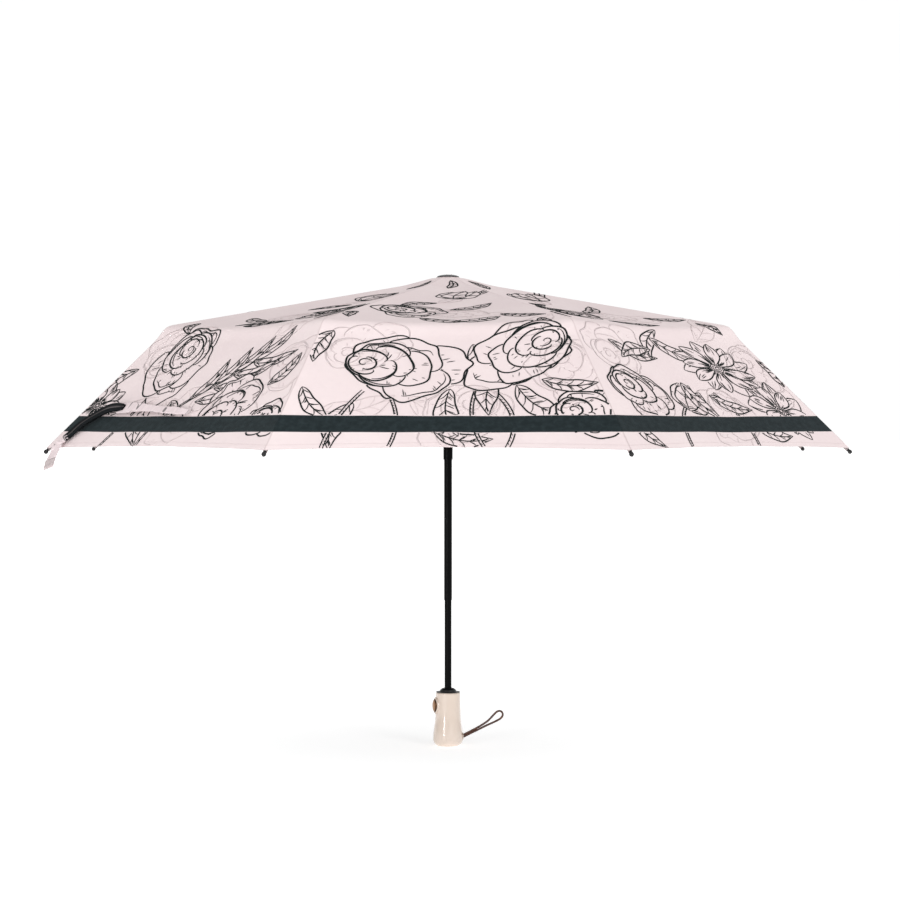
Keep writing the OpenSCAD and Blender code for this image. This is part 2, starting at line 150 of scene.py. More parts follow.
class Finish:
    """One material: node() adds a node, sets it, and fills its sockets by order or by name."""

    def __init__(self, name, **constants):
        self.material = bpy.data.materials.new(name)
        self.material.use_nodes = True
        self.tree = self.material.node_tree
        self.shader = self.tree.nodes["Principled BSDF"]
        for socket, value in constants.items():
            self.shader.inputs[socket.replace("_", " ")].default_value = value

    def node(self, kind, settings=None, *values, **named):
        """Adds a node and gives its live outputs."""
        made = self.tree.nodes.new(kind)
        for key, value in (settings or {}).items():
            setattr(made, key, value)
        sockets = [socket for socket in made.inputs if socket.enabled]
        for socket, value in zip(sockets, values):
            self.fill(socket, value)
        for name, value in named.items():
            self.fill(made.inputs[name], value)
        return [Wire(self, out) for out in made.outputs if out.enabled]

    def fill(self, socket, value):
        """Links a wire to a socket, or sets the socket to a number or a colour."""
        while isinstance(value, Wire):
            value = value.value
        if isinstance(value, bpy.types.NodeSocket):
            self.tree.links.new(value, socket)
        else:
            socket.default_value = value

    def mix(self, share, first, second):
        """first where share is 0 and second where it is 1, for colours of three numbers or links."""
        colours = [(*c, 1.0) if isinstance(c, tuple) and len(c) == 3 else c for c in (first, second)]
        return self.node("ShaderNodeMix", {"data_type": "RGBA"}, share, *colours)[0]

    def place(self):
        """Object coordinates, as a vector and its three numbers, in metres."""
        vector = self.node("ShaderNodeTexCoord")[3]
        return vector, *self.node("ShaderNodeSeparateXYZ", None, vector)

    def stretched_place(self, scale):
        """Object coordinates times scale, for noise that is drawn out along a part."""
        return self.node("ShaderNodeMapping", None, self.place()[0], (0, 0, 0), (0, 0, 0), scale)[0]

    def noise(self, scale, detail=2.0, vector=None):
        """Cloudy noise from 0 to 1, with scale clouds to the metre."""
        vector = vector or self.place()[0]
        return self.node("ShaderNodeTexNoise", None, Vector=vector, Scale=scale, Detail=detail)[0]

    def bump(self, height, depth, strength=1.0):
        """Raises the surface by depth metres where height is 1."""
        normal = self.node("ShaderNodeBump", None, Strength=strength, Distance=depth, Height=height)[0]
        self.fill(self.shader.inputs["Normal"], normal)

    def set(self, **sockets):
        """Fills sockets of the shader, named with _ for a blank."""
        for socket, value in sockets.items():
            self.fill(self.shader.inputs[socket.replace("_", " ")], value)


pale = Finish("pale_floor", Roughness=0.9, Emission_Color=(1, 1, 1, 1), Emission_Strength=0.54)
pale.set(Base_Color=pale.mix(pale.noise(3.0), (0.88, 0.88, 0.88), (0.90, 0.90, 0.90)))
floor.data.materials.append(pale.material)

wall = room.node_tree.nodes.new("ShaderNodeTexCoord")
wall_side = room.node_tree.nodes.new("ShaderNodeSeparateXYZ")
wall_shade = room.node_tree.nodes.new("ShaderNodeMapRange")
wall_shade.interpolation_type = "SMOOTHSTEP"
for socket, value in zip(wall_shade.inputs[1:5], (-0.75, -0.25, 0.62, 1.0)):
    socket.default_value = value
room.node_tree.links.new(wall.outputs["Generated"], wall_side.inputs[0])
room.node_tree.links.new(wall_side.outputs["X"], wall_shade.inputs["Value"])
room.node_tree.links.new(wall_shade.outputs[0], room.node_tree.nodes["Background"].inputs["Color"])


# ---------- Wrist cord ----------
# A stiff round cord of dark brown leather. Both ends go through the grommet low on the handle to a knot
# inside, and the loop stands out to the right in a narrow eye.

CORD_D = 2.4
cord_route = np.array(
    [
        [18, 0, 9.8], [22, 0, 11.9], [26, 0, 13.9], [30, 0, 15.9], [34, 0, 17.8], [38, 0, 19.8],
        [42, 0, 21.8], [46, 0, 23.7], [50, 0, 25.5], [54, 0, 27.3], [58, 0, 29.3], [61, 0, 31.2],
        [63.2, 0, 33.5], [64, 0, 36.2], [62.9, 0, 38.9], [60.3, 0, 40.2], [57.4, 0, 39.4], [54.8, 0, 37.2],
        [52, 0, 34.2], [49, 0, 31], [46, 0, 28.2], [42, 0, 25.4], [38, 0, 22.9], [34, 0, 20.6],
        [30, 0, 18.5], [26, 0, 16.5], [22, 0, 14.4], [18, 0, 12.3],
    ]
) * MM


def new_piece(name, points, faces, materials, smooth=True, face_materials=None):
    """A mesh object from points in metres and faces, with its materials."""
    mesh = bpy.data.meshes.new(name)
    mesh.from_pydata(np.asarray(points).tolist(), [], faces if isinstance(faces, list) else faces.tolist())
    mesh.polygons.foreach_set("use_smooth", [smooth] * len(mesh.polygons))
    for finish in materials:
        mesh.materials.append(finish.material)
    if face_materials is not None:
        mesh.polygons.foreach_set("material_index", face_materials)
    mesh.update()
    piece = bpy.data.objects.new(name, mesh)
    bpy.context.collection.objects.link(piece)
    return piece


def grid_faces(rows, columns, closed=False, flip=False):
    """The four-sided faces of a grid of points, row by row; closed joins the last column to the first."""
    i, j = np.meshgrid(np.arange(rows - 1), np.arange(columns - (not closed)), indexing="ij")
    i, j = i.ravel(), j.ravel()
    k = (j + 1) % columns
    faces = np.stack([i * columns + j, i * columns + k, (i + 1) * columns + k, (i + 1) * columns + j], axis=1)
    return faces[:, ::-1] if flip else faces


def smooth_line(points, per_step):
    """A Catmull-Rom curve: between points b and c of a, b, c, d, a cubic whose slopes are (c - a)/2 and
    (d - b)/2."""
    a, b = np.concatenate([points[:1], points[:-2]]), points[:-1]
    c, d = points[1:], np.concatenate([points[2:], points[-1:]])
    t = np.linspace(0, 1, per_step, endpoint=False)[None, :, None]
    a, b, c, d = (p[:, None, :] for p in (a, b, c, d))
    line = b + t * (c - a) / 2 + t**2 * (a - 2.5 * b + 2 * c - d / 2) + t**3 * (-a + 3 * b - 3 * c + d) / 2
    return np.concatenate([line.reshape(-1, 3), points[-1:]])


def frames(line, up):
    """The unit direction of a line, its side cross(direction, up), and its normal cross(side, direction)."""
    ahead = np.gradient(line, axis=0)
    ahead /= np.linalg.norm(ahead, axis=1, keepdims=True)
    side = np.cross(ahead, up)
    side /= np.linalg.norm(side, axis=1, keepdims=True)
    return ahead, side, np.cross(side, ahead)


def swept(line, across, over, up):
    """A closed outline carried along a line. across and over, one row to each point of the line, are the
    outline's distances to the side and along the normal. Both ends are closed by a face."""
    _, side, normal = frames(line, up)
    rings = line[:, None, :] + across[:, :, None] * side[:, None, :] + over[:, :, None] * normal[:, None, :]
    rows, columns = rings.shape[:2]
    faces = grid_faces(rows, columns, closed=True).tolist()
    faces += [list(range(columns))[::-1], list(range((rows - 1) * columns, rows * columns))]
    return rings.reshape(-1, 3), faces


def along_uv(piece, rows, columns, length, girth, name="along"):
    """UVs in metres on a swept piece: the way round, and the way along. Point k is ring k // columns."""
    mesh = piece.data
    corner = np.empty(len(mesh.loops), dtype=np.int32)
    mesh.loops.foreach_get("vertex_index", corner)
    way_round = (corner % columns) * girth / columns
    way_along = (corner // columns) * length / (rows - 1)
    place = np.stack([way_round, way_along], axis=1)
    mesh.uv_layers.new(name=name).data.foreach_set("uv", place.ravel())


leather = Finish("brown_leather", Roughness=0.42, Coat_Roughness=0.3)
leather_place = leather.node("ShaderNodeUVMap", {"uv_map": "along"})[0]
leather_round, leather_way, _ = leather.node("ShaderNodeSeparateXYZ", None, leather_place)
grain = leather.noise(1500.0, 4.0, leather_place)
# Painted highlight: soft patches of lighter copper brown stand in for the gleam along the cord.
copper_highlight = leather.noise(120.0, 3.0, leather_place).step(0.45, 0.75)
cut_edge = (leather_round.wave(CORD_D * MM * math.pi / 2)).step(0.80, 0.98)
hide = leather.mix(grain.step(0.35, 0.7), (0.045, 0.017, 0.010), (0.085, 0.031, 0.017))
hide = leather.mix(copper_highlight * 0.45, hide, (0.24, 0.09, 0.04))
leather.set(Base_Color=leather.mix(cut_edge * 0.5, hide, (0.03, 0.012, 0.008)), Roughness=0.34 + grain * 0.25)
leather.bump(grain * 0.5 + (leather_way + leather_round).wave(0.004) * 0.3 - cut_edge * 0.5, 0.0002)

cord_line = smooth_line(cord_route, 5)
CORD_SIDES = 16
cord_turn = np.linspace(0, 2 * np.pi, CORD_SIDES, endpoint=False)[None, :]
cord_way = np.concatenate([[0], np.cumsum(np.linalg.norm(np.diff(cord_line, axis=0), axis=1))])
cord_r = CORD_D / 2 * MM * (1 + 0.02 * np.sin(cord_way * 900))[:, None]
cord_points, cord_faces = swept(cord_line, cord_r * np.cos(cord_turn), cord_r * np.sin(cord_turn), (0, 1, 0))
wrist_cord = new_piece("wrist_loop", cord_points, cord_faces, [leather])
along_uv(wrist_cord, len(cord_line), CORD_SIDES, cord_way[-1], CORD_D * MM * math.pi)
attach(wrist_cord, "handle")
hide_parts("wrist_cord")


# ---------- Canopy ----------
# Eight gores of pale printed polyester, coated black on the inside, sewn together over the ribs. It is
# clamped at the crown and tied to the eight tips, and each gore hangs as a shallow saddle between its two
# ribs.

GORES = 8
HALF_GORE = math.radians(22.5)
CROWN_Z = 541.0
HINGE_R = 15.0
ROOF_SLOPE = math.radians(10.2)
SKIRT_SLOPE = math.radians(44)
INNER_LEN, MIDDLE_LEN, OUTER_LEN = 160.0, 167.0, 193.0
KNEE_DROP = 6.0
ROOF_LIFT, SKIRT_LIFT = 1.75, 4.95
GORE_SAG = 7.0
RIM_SCALLOP = 4.0
CLOTH_LIFT, CLOTH_THICK = 0.5, 0.35
# A way down the middle of a gore, as a share of the way down a rib
SKIRT_SHARE, ROOF_SHARE = 0.961, 0.926


def along(start, slope, x, h):
    """The point x along and h above a line that leaves start, [radius, height], and falls at slope."""
    return (
        start[0] + x * math.cos(slope) + h * math.sin(slope),
        start[1] - x * math.sin(slope) + h * math.cos(slope),
    )


crown_hinge = (HINGE_R, CROWN_Z)
knee = along(crown_hinge, ROOF_SLOPE, INNER_LEN + MIDDLE_LEN, -KNEE_DROP)
rib_stations = np.array(
    [(3.6, CROWN_Z + 4.9), (18.2, CROWN_Z + 4.75), along(crown_hinge, ROOF_SLOPE, 40, ROOF_LIFT)]
    + [along(crown_hinge, ROOF_SLOPE, x, ROOF_LIFT) for x in (100, INNER_LEN, 235, 312)]
    + [along(knee, (ROOF_SLOPE + SKIRT_SLOPE) / 2, 1, SKIRT_LIFT + 3.4)]
    + [along(knee, SKIRT_SLOPE, x, SKIRT_LIFT) for x in (16, 80, 140, OUTER_LEN - 3)]
)
station_u = np.concatenate([[0], np.cumsum(np.hypot(*np.diff(rib_stations, axis=0).T))])
ELBOW_U = station_u[4]
KNEE_U = station_u[7]
RIM_U = station_u[-1]
fine_u = np.arange(-20, RIM_U + 20, 0.5)
blur = np.exp(-0.5 * (np.arange(-24, 25) / 9.0) ** 2)
blur /= blur.sum()


def stretched(values):
    """values along the rib at every half millimetre, run straight on past both ends, with rounded corners."""
    line = np.interp(fine_u, station_u, values)
    for end, inner in ((0, 1), (-1, -2)):
        rate = (values[end] - values[inner]) / (station_u[end] - station_u[inner])
        past = fine_u < 0 if end == 0 else fine_u > RIM_U
        line[past] = values[end] + rate * (fine_u[past] - station_u[end])
    return np.convolve(np.pad(line, 24, mode="edge"), blur, mode="valid")


line_r, line_z = stretched(rib_stations[:, 0]), stretched(rib_stations[:, 1])


def cloth(gore, u, v, lift=0.0):
    """Points of the cloth in mm. u is the way down the rib from the crown, v goes from -1 to 1 across a gore.
    The rib's line gives radius and height, the gore is a chord between two such lines, and the chord is drawn
    in by a parabola across v times half a sine down u, with slight ripples where the cloth is slack."""
    u, v = np.broadcast_arrays(np.asarray(u, float), np.asarray(v, float))
    r, z = np.interp(u, fine_u, line_r), np.interp(u, fine_u, line_z)
    share = np.clip((u - 14) / (RIM_U - 14), 0, 1)
    bay = 1 - v**2
    drawn = GORE_SAG * bay * np.sin(np.pi * share)
    slack = bay * np.clip((u - KNEE_U) / 60, 0, 1)
    drawn = drawn + 0.7 * slack * np.sin(v * 9 + gore * 2.1 + u * 0.021) * np.cos(u * 0.045 + v * 3 + gore)
    out = r * math.cos(HALF_GORE) - drawn * 0.5 + lift * 0.45 * share
    side = r * math.sin(HALF_GORE) * v
    up = z - drawn * (1 - 0.5 * share) + lift
    c, s = math.cos(math.radians(45 * (gore + 1))), math.sin(math.radians(45 * (gore + 1)))
    return np.stack([out * c - side * s, out * s + side * c, up], axis=-1)


def cloth_normal(gore, u, v):
    """The outward direction, from the steps to two near points."""
    down = cloth(gore, u + 0.5, v) - cloth(gore, u - 0.5, v)
    across = cloth(gore, u, v + 0.002) - cloth(gore, u, v - 0.002)
    normal = np.cross(down, across)
    return normal / np.linalg.norm(normal, axis=-1, keepdims=True)


def rim_u(v):
    """How far down the rim lies: the whole length at a rib, and less by a shallow arch between two ribs."""
    return RIM_U - RIM_SCALLOP * (1 - np.asarray(v) ** 2)


def gore_place(u, v):
    """[across, down] on the flat gore, in mm, down counted from the knees: what the print is laid out on."""
    r = np.interp(u, fine_u, line_r)
    return r * math.sin(HALF_GORE) * v, (u - KNEE_U) * np.where(u > KNEE_U, SKIRT_SHARE, ROOF_SHARE)


BAND_TOP, BAND_LOW = 135.9, 159.4

printed = Finish("printed_cloth", Roughness=0.8, Specular_IOR_Level=0.07, Sheen_Weight=0.03)
flat_place = printed.node("ShaderNodeUVMap", {"uv_map": "gore"})[0]
across, down, _ = printed.node("ShaderNodeSeparateXYZ", None, flat_place)
seam = printed.node("ShaderNodeAttribute", {"attribute_name": "seam"})[2]
hem = printed.node("ShaderNodeAttribute", {"attribute_name": "hem"})[2]
band = down.step(BAND_TOP * MM - 0.0004, BAND_TOP * MM + 0.0004) * (
    1 - down.step(BAND_LOW * MM - 0.0004, BAND_LOW * MM + 0.0004)
)
cloud = printed.noise(14.0, 3.0, flat_place)
mottle = printed.noise(160.0, 4.0, flat_place)
shade = printed.mix(cloud.step(0.35, 0.7), (0.700, 0.600, 0.603), (0.725, 0.630, 0.630))
shade = printed.mix(mottle.step(0.45, 0.75) * 0.35, shade, (0.67, 0.575, 0.58))
seam_line = (1 - seam.step(0.0004, 0.0011)) * 0.35
stitch = (across * 700.0 + down * 700.0).part().step(0.35, 0.45)
hem_stitch = (1 - ((hem - 0.0065).flat()).step(0.0003, 0.0007)) * stitch * 0.45
shade = printed.mix(seam_line, shade, (0.50, 0.40, 0.40))
shade = printed.mix(hem_stitch, shade, (0.55, 0.44, 0.44))
navy = printed.mix(mottle.step(0.3, 0.8), (0.010, 0.016, 0.018), (0.018, 0.027, 0.030))
printed.set(Base_Color=printed.mix(band, shade, navy))
weave = across.wave(0.0007) * down.wave(0.0007)
crease = printed.noise(42.0, 3.0, flat_place)
printed.bump(weave * 0.06 + crease * 0.9 + seam.step(0.0, 0.0012) * 0.5 - hem_stitch * 0.8, 0.0009, 0.5)

coating = Finish("black_coating", Roughness=0.62)
coat_place = coating.node("ShaderNodeUVMap", {"uv_map": "gore"})[0]
coat_across, coat_down, _ = coating.node("ShaderNodeSeparateXYZ", None, coat_place)
coat_cloud = coating.noise(30.0, 3.0, coat_place).step(0.3, 0.7)
coating.set(Base_Color=coating.mix(coat_cloud, (0.012, 0.012, 0.013), (0.020, 0.020, 0.022)))
coat_weave = coat_across.wave(0.0007) * coat_down.wave(0.0007)
coating.bump(coat_weave * 0.1 + coating.noise(60.0, 3.0, coat_place), 0.0006, 0.5)



# ---------- Print ----------
# A plain all-over print of open roses, buds, slender flowers, leaves and stems, in dark ink lines with
# hatching. The lines lie on the flat gores as thin strips of ink, and a paler print in a deeper pink lies
# under them.

INK_STEP = 2.4
INK_ROOT = 0.3


def inside(points, outline):
    """Which points lie in a closed outline: those with an odd number of edges straight to their right."""
    x, y = points[:, 0, None], points[:, 1, None]
    x0, y0 = outline[:, 0], outline[:, 1]
    x1, y1 = np.roll(x0, -1), np.roll(y0, -1)
    crosses = (y0 > y) != (y1 > y)
    at = x0 + (y - y0) / np.where(y1 == y0, 1, y1 - y0) * (x1 - x0)
    return (crosses & (x < at)).sum(axis=1) % 2 == 1


def spun(points, angle, x=0.0, y=0.0):
    """Points turned by angle about the origin and then moved to x, y."""
    c, s = math.cos(angle), math.sin(angle)
    return points @ np.array([[c, s], [-s, c]]) + np.array([x, y])


class Sketch:
    """Ink lines on a flat gore, in mm. Shapes are drawn from the front back, and each hides later ones."""

    def __init__(self, seed):
        self.covers, self.middles, self.radii, self.lines = [], [], [], []
        self.random = np.random.default_rng(seed)

    def line(self, points, width, taper=0.75):
        """A pen line along points, thinner towards both ends: width (1 - taper |2t - 1|^3) at the share t."""
        steps = np.hypot(*np.diff(points, axis=0).T)
        way = np.concatenate([[0], np.cumsum(steps)])
        count = max(int(way[-1] / INK_STEP) + 1, 3)
        even = np.linspace(0, way[-1], count)
        fine = np.stack([np.interp(even, way, points[:, 0]), np.interp(even, way, points[:, 1])], axis=1)
        thick = width * (1 - taper * np.abs(2 * np.linspace(0, 1, count) - 1) ** 3)
        shown = (fine[:, 1] < BAND_TOP) | (fine[:, 1] > BAND_LOW)
        if self.covers:
            middle = fine.mean(axis=0)
            reach = np.hypot(*(fine - middle).T).max()
            near = np.hypot(*(np.array(self.middles) - middle).T) < np.array(self.radii) + reach
            for k in np.flatnonzero(near):
                shown &= ~inside(fine, self.covers[k])
        ends = np.flatnonzero(np.diff(np.concatenate([[0], shown.astype(int), [0]]))).reshape(-1, 2)
        self.lines += [(fine[a:b], thick[a:b]) for a, b in ends if b - a > 1]

    def cover(self, outline):
        """Hides what is drawn later inside this outline."""
        self.covers.append(outline)
        self.middles.append(outline.mean(axis=0))
        self.radii.append(np.hypot(*(outline - outline.mean(axis=0)).T).max())

    def rose(self, x, y, size, turn, squash=0.88, petals=13, lean=0.42):
        """An open rose seen from one side: petal k is a lobe at k golden angles,
        r(t) = r0 + (r1 - r0)(1 - |t|^p)^(1/2) with waves, larger from layer to layer, its centre leaning
        further that way. Each has a turned lip inside its edge, and hatching at the lip and the root."""
        draw = self.random

        heart = spun(np.array([[-lean * size / 2, 0.0]]), turn, x, y)[0]

        def placed(radius, angle, shift=0.0):
            flat = np.stack([radius * np.cos(angle) + shift, radius * np.sin(angle) * squash], axis=1)
            return spun(flat, turn, *heart)

        swirl = np.linspace(0, 1, 40)
        self.line(placed(size * (0.02 + 0.11 * swirl), 1.9 * np.pi * swirl), 1.1)
        self.cover(placed(np.full(16, size * 0.12), np.linspace(0, 2 * np.pi, 16, endpoint=False)))
        for k in range(petals):
            share = k / (petals - 1)
            shift = lean * size * share**1.2
            r1 = size * (0.2 + 0.72 * share**0.85) * draw.uniform(0.94, 1.06)
            r0 = r1 * (0.74 - 0.24 * share)
            half = math.radians(84 - 30 * share) * draw.uniform(0.9, 1.15)
            middle = k * math.radians(137.5) + draw.uniform(-0.2, 0.2)
            t = np.linspace(-1, 1, 61)
            power, phase = draw.uniform(1.8, 3.2), draw.uniform(0, 6.3)
            tip = 0.1 * share * np.exp(-(((t - draw.uniform(-0.4, 0.4)) / 0.15) ** 2))
            waves = 0.03 * np.sin(5.2 * t + phase) + 0.018 * share * np.sin(13 * t + 2 * phase)
            edge = (r0 + (r1 - r0) * np.sqrt(1 - np.abs(t) ** power)) * (1 + (0.35 + share) * waves + tip)
            angle = middle + half * t + 0.04 * np.sin(7 * t + phase)
            depth = (r1 - r0) * (0.2 + 0.3 * share) * np.clip(1 - t**2, 0, 1) ** 0.7 * draw.uniform(0.4, 1.3)
            lip = edge - depth * (1 + 0.6 * np.sin(3.1 * t + phase))
            self.line(placed(edge, angle, shift), 1.5 - 0.1 * share, 0.5)
            if k > 1 and draw.random() < 0.7:
                part = slice(4, 42) if draw.random() < 0.5 else slice(20, 57)
                self.line(placed(lip[part], angle[part], shift), 1.0)
            for at in draw.uniform(-0.8, 0.8, int(2 + 5 * share)):
                foot = np.interp(at, t, lip)
                ray = np.linspace(foot, foot - (foot - r0 * 0.55) * draw.uniform(0.1, 0.35), 4)
                self.line(placed(ray, middle + half * at + 0.1 * np.linspace(0, at, 4), shift), 0.75, 0.9)
            for at in draw.uniform(-0.8, 0.8, int(2 + 7 * share)):
                far = r0 * 0.62 + (np.interp(at, t, lip) - r0 * 0.62) * draw.uniform(0.1, 0.55)
                ray = np.linspace(r0 * 0.45, far, 8)
                self.line(placed(ray, middle + half * at * np.linspace(0.75, 1, 8), shift), 0.85, 0.8)
            self.cover(placed(np.concatenate([edge, [0]]), np.concatenate([angle, [middle]]), shift))

    def leaf(self, x, y, length, width, turn, bend=0.12, veins=5):
        """A pointed leaf: a bowed spine with half widths (width/2) sin(pi s^0.85)^0.9, a waved edge, ribs and
        hatching."""
        draw = self.random
        s = np.linspace(0, 1, 49)
        spine = np.stack([s * length, bend * length * np.sin(np.pi * s)], axis=1)
        half = width / 2 * np.sin(np.pi * s**0.85) ** 0.9 * (1 + 0.12 * np.sin(11 * s + turn))
        sides = [spine + np.stack([0 * s, sign * half], axis=1) for sign in (-1, 1)]
        for edge in sides:
            self.line(spun(edge, turn, x, y), 1.3, 0.6)
        self.line(spun(spine[:46], turn, x, y), 1.1)
        for edge in sides:
            for start in np.linspace(0.08, 0.8, veins):
                root, end = int(start * 48), min(int((start + 0.13) * 48), 47)
                reach = np.linspace(0, 0.93, 6)[:, None]
                rib = spine[root] + (edge[end] - spine[root]) * reach
                rib[:, 0] += 0.03 * length * np.sin(np.pi * reach[:, 0])
                self.line(spun(rib, turn, x, y), 0.75)
                for k in range(draw.integers(0, 3)):
                    between = start + draw.uniform(0.01, 0.1)
                    root, end = int(between * 48), min(int((between + 0.12) * 48), 47)
                    reach = np.linspace(0.02, draw.uniform(0.25, 0.75), 4)[:, None]
                    self.line(spun(spine[root] + (edge[end] - spine[root]) * reach, turn, x, y), 0.6, 0.9)
        self.cover(spun(np.concatenate([sides[0], sides[1][::-1]]), turn, x, y))

    def leaves(self, *shapes):
        """Several leaves, each given as its x, y, length, width and turn."""
        for shape in shapes:
            self.leaf(*shape)

    def flower(self, x, y, size, turn, petals=9, squash=0.8):
        """An open flower: a ring of stamens round its heart, and two rings of slender pointed petals, each a
        lobe of half width sin(pi s^1.3)^0.8 about its own spine."""
        draw = self.random
        ring = np.linspace(0, 2 * np.pi, 13)
        for radius in (0.05, 0.1, 0.15):
            wobble = size * radius * (1 + 0.16 * np.sin(6 * ring + radius * 40))
            heart = np.stack([wobble * np.cos(ring), wobble * squash * np.sin(ring)], axis=1)
            self.line(spun(heart, turn, x, y), 0.9, 0.2)
        self.cover(spun(heart, turn, x, y))
        s = np.linspace(0, 1, 33)
        for layer in range(2):
            for k in range(petals):
                angle = 2 * np.pi * (k + layer / 2) / petals + draw.uniform(-0.1, 0.1)
                long = size * (0.86 + 0.14 * layer) * draw.uniform(0.9, 1.05)
                half = long * 1.5 / petals * np.sin(np.pi * s**1.3) ** 0.8
                spine = np.stack([0.1 * size + s * (long - 0.1 * size), 0.06 * long * np.sin(3 * s)], axis=1)
                shape = [spun(spine + np.stack([0 * s, sign * half], axis=1), angle) for sign in (-1, 1)]
                shape = [spun(side * np.array([1, squash]), turn, x, y) for side in shape]
                for side in shape:
                    self.line(side, 1.2, 0.5)
                for lean in draw.uniform(-0.75, 0.75, 7):
                    first = draw.uniform(0.0, 0.1) if draw.random() < 0.6 else draw.uniform(0.5, 0.65)
                    span = (s >= first) & (s <= first + draw.uniform(0.2, 0.45))
                    rib = spun(spine + np.stack([0 * s, lean * half], axis=1), angle)[span]
                    self.line(spun(rib * np.array([1, squash]), turn, x, y), 0.7, 0.9)
                self.cover(np.concatenate([shape[0], shape[1][::-1]]))

    def bud(self, x, y, size, turn):
        """A closed rose: three wrapped petals, each a leaf shape that leans its own way, and three sepals."""
        for lean, share, bend in ((0.0, 1.0, -0.1), (0.28, 0.96, 0.1), (-0.3, 0.93, -0.1)):
            self.leaf(x, y, size * share, size * 0.56, turn + lean, bend=bend, veins=3)
        for lean in (-0.75, 0.7, 0.1):
            self.leaf(x, y, size * 0.62, size * 0.13, turn + lean, bend=0.16, veins=2)

    def stem(self, points, width=3.2):
        """A stem along a bowed line through points: an edge half its width to each side, and hatching."""
        knots = np.array(points, float)
        way = np.concatenate([[0], np.cumsum(np.hypot(*np.diff(knots, axis=0).T))])
        even = np.linspace(0, way[-1], 60)
        power = len(knots) - 1
        line = np.stack([np.polyval(np.polyfit(way, knots[:, k], power), even) for k in (0, 1)], axis=1)
        ahead = np.gradient(line, axis=0)
        side = np.stack([-ahead[:, 1], ahead[:, 0]], axis=1) / np.hypot(*ahead.T)[:, None] * width / 2
        self.line(line + side, 1.1, 0.3)
        self.line(line - side, 1.1, 0.3)
        for k in range(2, 56, 3):
            self.line(np.stack([line[k] + side[k], line[k + 2] - 0.1 * side[k]]), 0.6, 0.9)
        self.cover(np.concatenate([line + side, (line - side)[::-1]]))


def front_flowers(sketch):
    """Two large roses leaning apart with leaves between them, a lower rose at the right and long stems."""
    sketch.rose(-58, 62, 66, 0.1, squash=0.9, petals=15, lean=0.85)
    sketch.rose(84, 40, 72, 2.5, squash=0.72, petals=15, lean=0.6)
    sketch.rose(136, 132, 48, 0.4, petals=11)
    sketch.leaves(
        (26, 30, 64, 22, 1.1), (30, 84, 74, 24, -0.35), (2, 96, 70, 24, 1.45), (70, 92, 66, 26, 0.75),
        (52, 76, 60, 22, 1.75), (96, 84, 58, 18, 0.1),
    )
    sketch.stem([(-58, 110), (-52, 150), (-60, 182)])
    sketch.stem([(34, 84), (24, 130), (38, 184)])
    sketch.stem([(46, 100), (66, 142), (58, 184)], 4.0)
    sketch.stem([(-126, 182), (-112, 142), (-86, 100)])
    sketch.leaves(
        (-96, 118, 70, 24, 1.9), (-148, 96, 54, 18, 1.0), (-118, 14, 50, 20, 2.0),
        (168, 96, 46, 16, -1.8), (6, -12, 60, 22, -0.6), (-14, 160, 60, 20, 0.15),
    )


def left_flowers(sketch):
    """One rose left of the middle, a plume of long leaves at the right of it, and more roses low down."""
    sketch.rose(-64, 46, 66, 1.4, squash=0.8, petals=14)
    sketch.rose(70, 128, 54, -1.0, petals=11)
    for k, (x, y) in enumerate([(0, 112), (14, 92), (30, 72), (48, 54)]):
        sketch.leaf(x, y, 66, 15, -1.35 + 0.16 * k, veins=4)
        sketch.leaf(x + 12, y + 2, 62, 16, -0.5 + 0.08 * k, veins=4)
    sketch.stem([(-30, 184), (-14, 130), (30, 84), (72, 30)], 3)
    sketch.flower(-150, 120, 46, 0.5, petals=8)
    sketch.leaves((-126, 64, 58, 18, 2.3), (-60, 112, 74, 24, 1.2), (-28, 112, 60, 22, 0.6))
    sketch.stem([(-92, 184), (-80, 140), (-70, 96)])
    sketch.rose(146, 140, 36, 0.3, petals=10)
    sketch.leaves((-6, -4, 56, 20, -0.7), (112, 92, 50, 18, -1.2))


def right_flowers(sketch):
    """A slender-petalled flower at the right with another below it, and a rose and leaves at the left."""
    sketch.flower(60, 62, 62, 0.2, petals=8, squash=0.74)
    sketch.flower(112, 128, 52, 0.9, petals=7)
    sketch.leaves((-16, 16, 64, 20, 0.5), (-28, 34, 60, 18, 2.9), (2, 4, 62, 16, 2.3))
    sketch.rose(-104, 96, 50, 0.9, petals=12)
    sketch.leaves((-88, 22, 66, 17, 0.4), (-20, 84, 62, 20, 1.2), (10, 104, 58, 18, 0.4))
    sketch.bud(-42, 128, 50, -0.9)
    sketch.stem([(20, 100), (34, 140), (26, 184)])
    sketch.stem([(-84, 184), (-70, 150), (-44, 122)])
    sketch.leaves((44, 150, 56, 18, 0.3), (-150, 140, 50, 18, 1.0), (150, 92, 44, 15, -1.9))


def roof_flowers(sketch, sign):
    """The part of a gore between the crown and the knees: a rose and a bud, with a few leaves round them."""
    sketch.rose(-46 * sign, -92, 48, 0.7, petals=12)
    sketch.leaf(56 * sign, -62, 52, 18, 0.4)
    sketch.bud(6 * sign, -178, 50, -1.3)
    sketch.leaves(
        (2, -100, 60, 18, -0.7), (-30 * sign, -36, 62, 20, 0.4 if sign > 0 else 2.7),
        (-12 * sign, -150, 50, 16, 2.5), (20 * sign, -196, 44, 13, -0.8), (0, -250, 40, 11, -1.5),
        (98 * sign, -22, 36, 13, 1.2), (-96 * sign, -62, 38, 12, 1.8),
    )


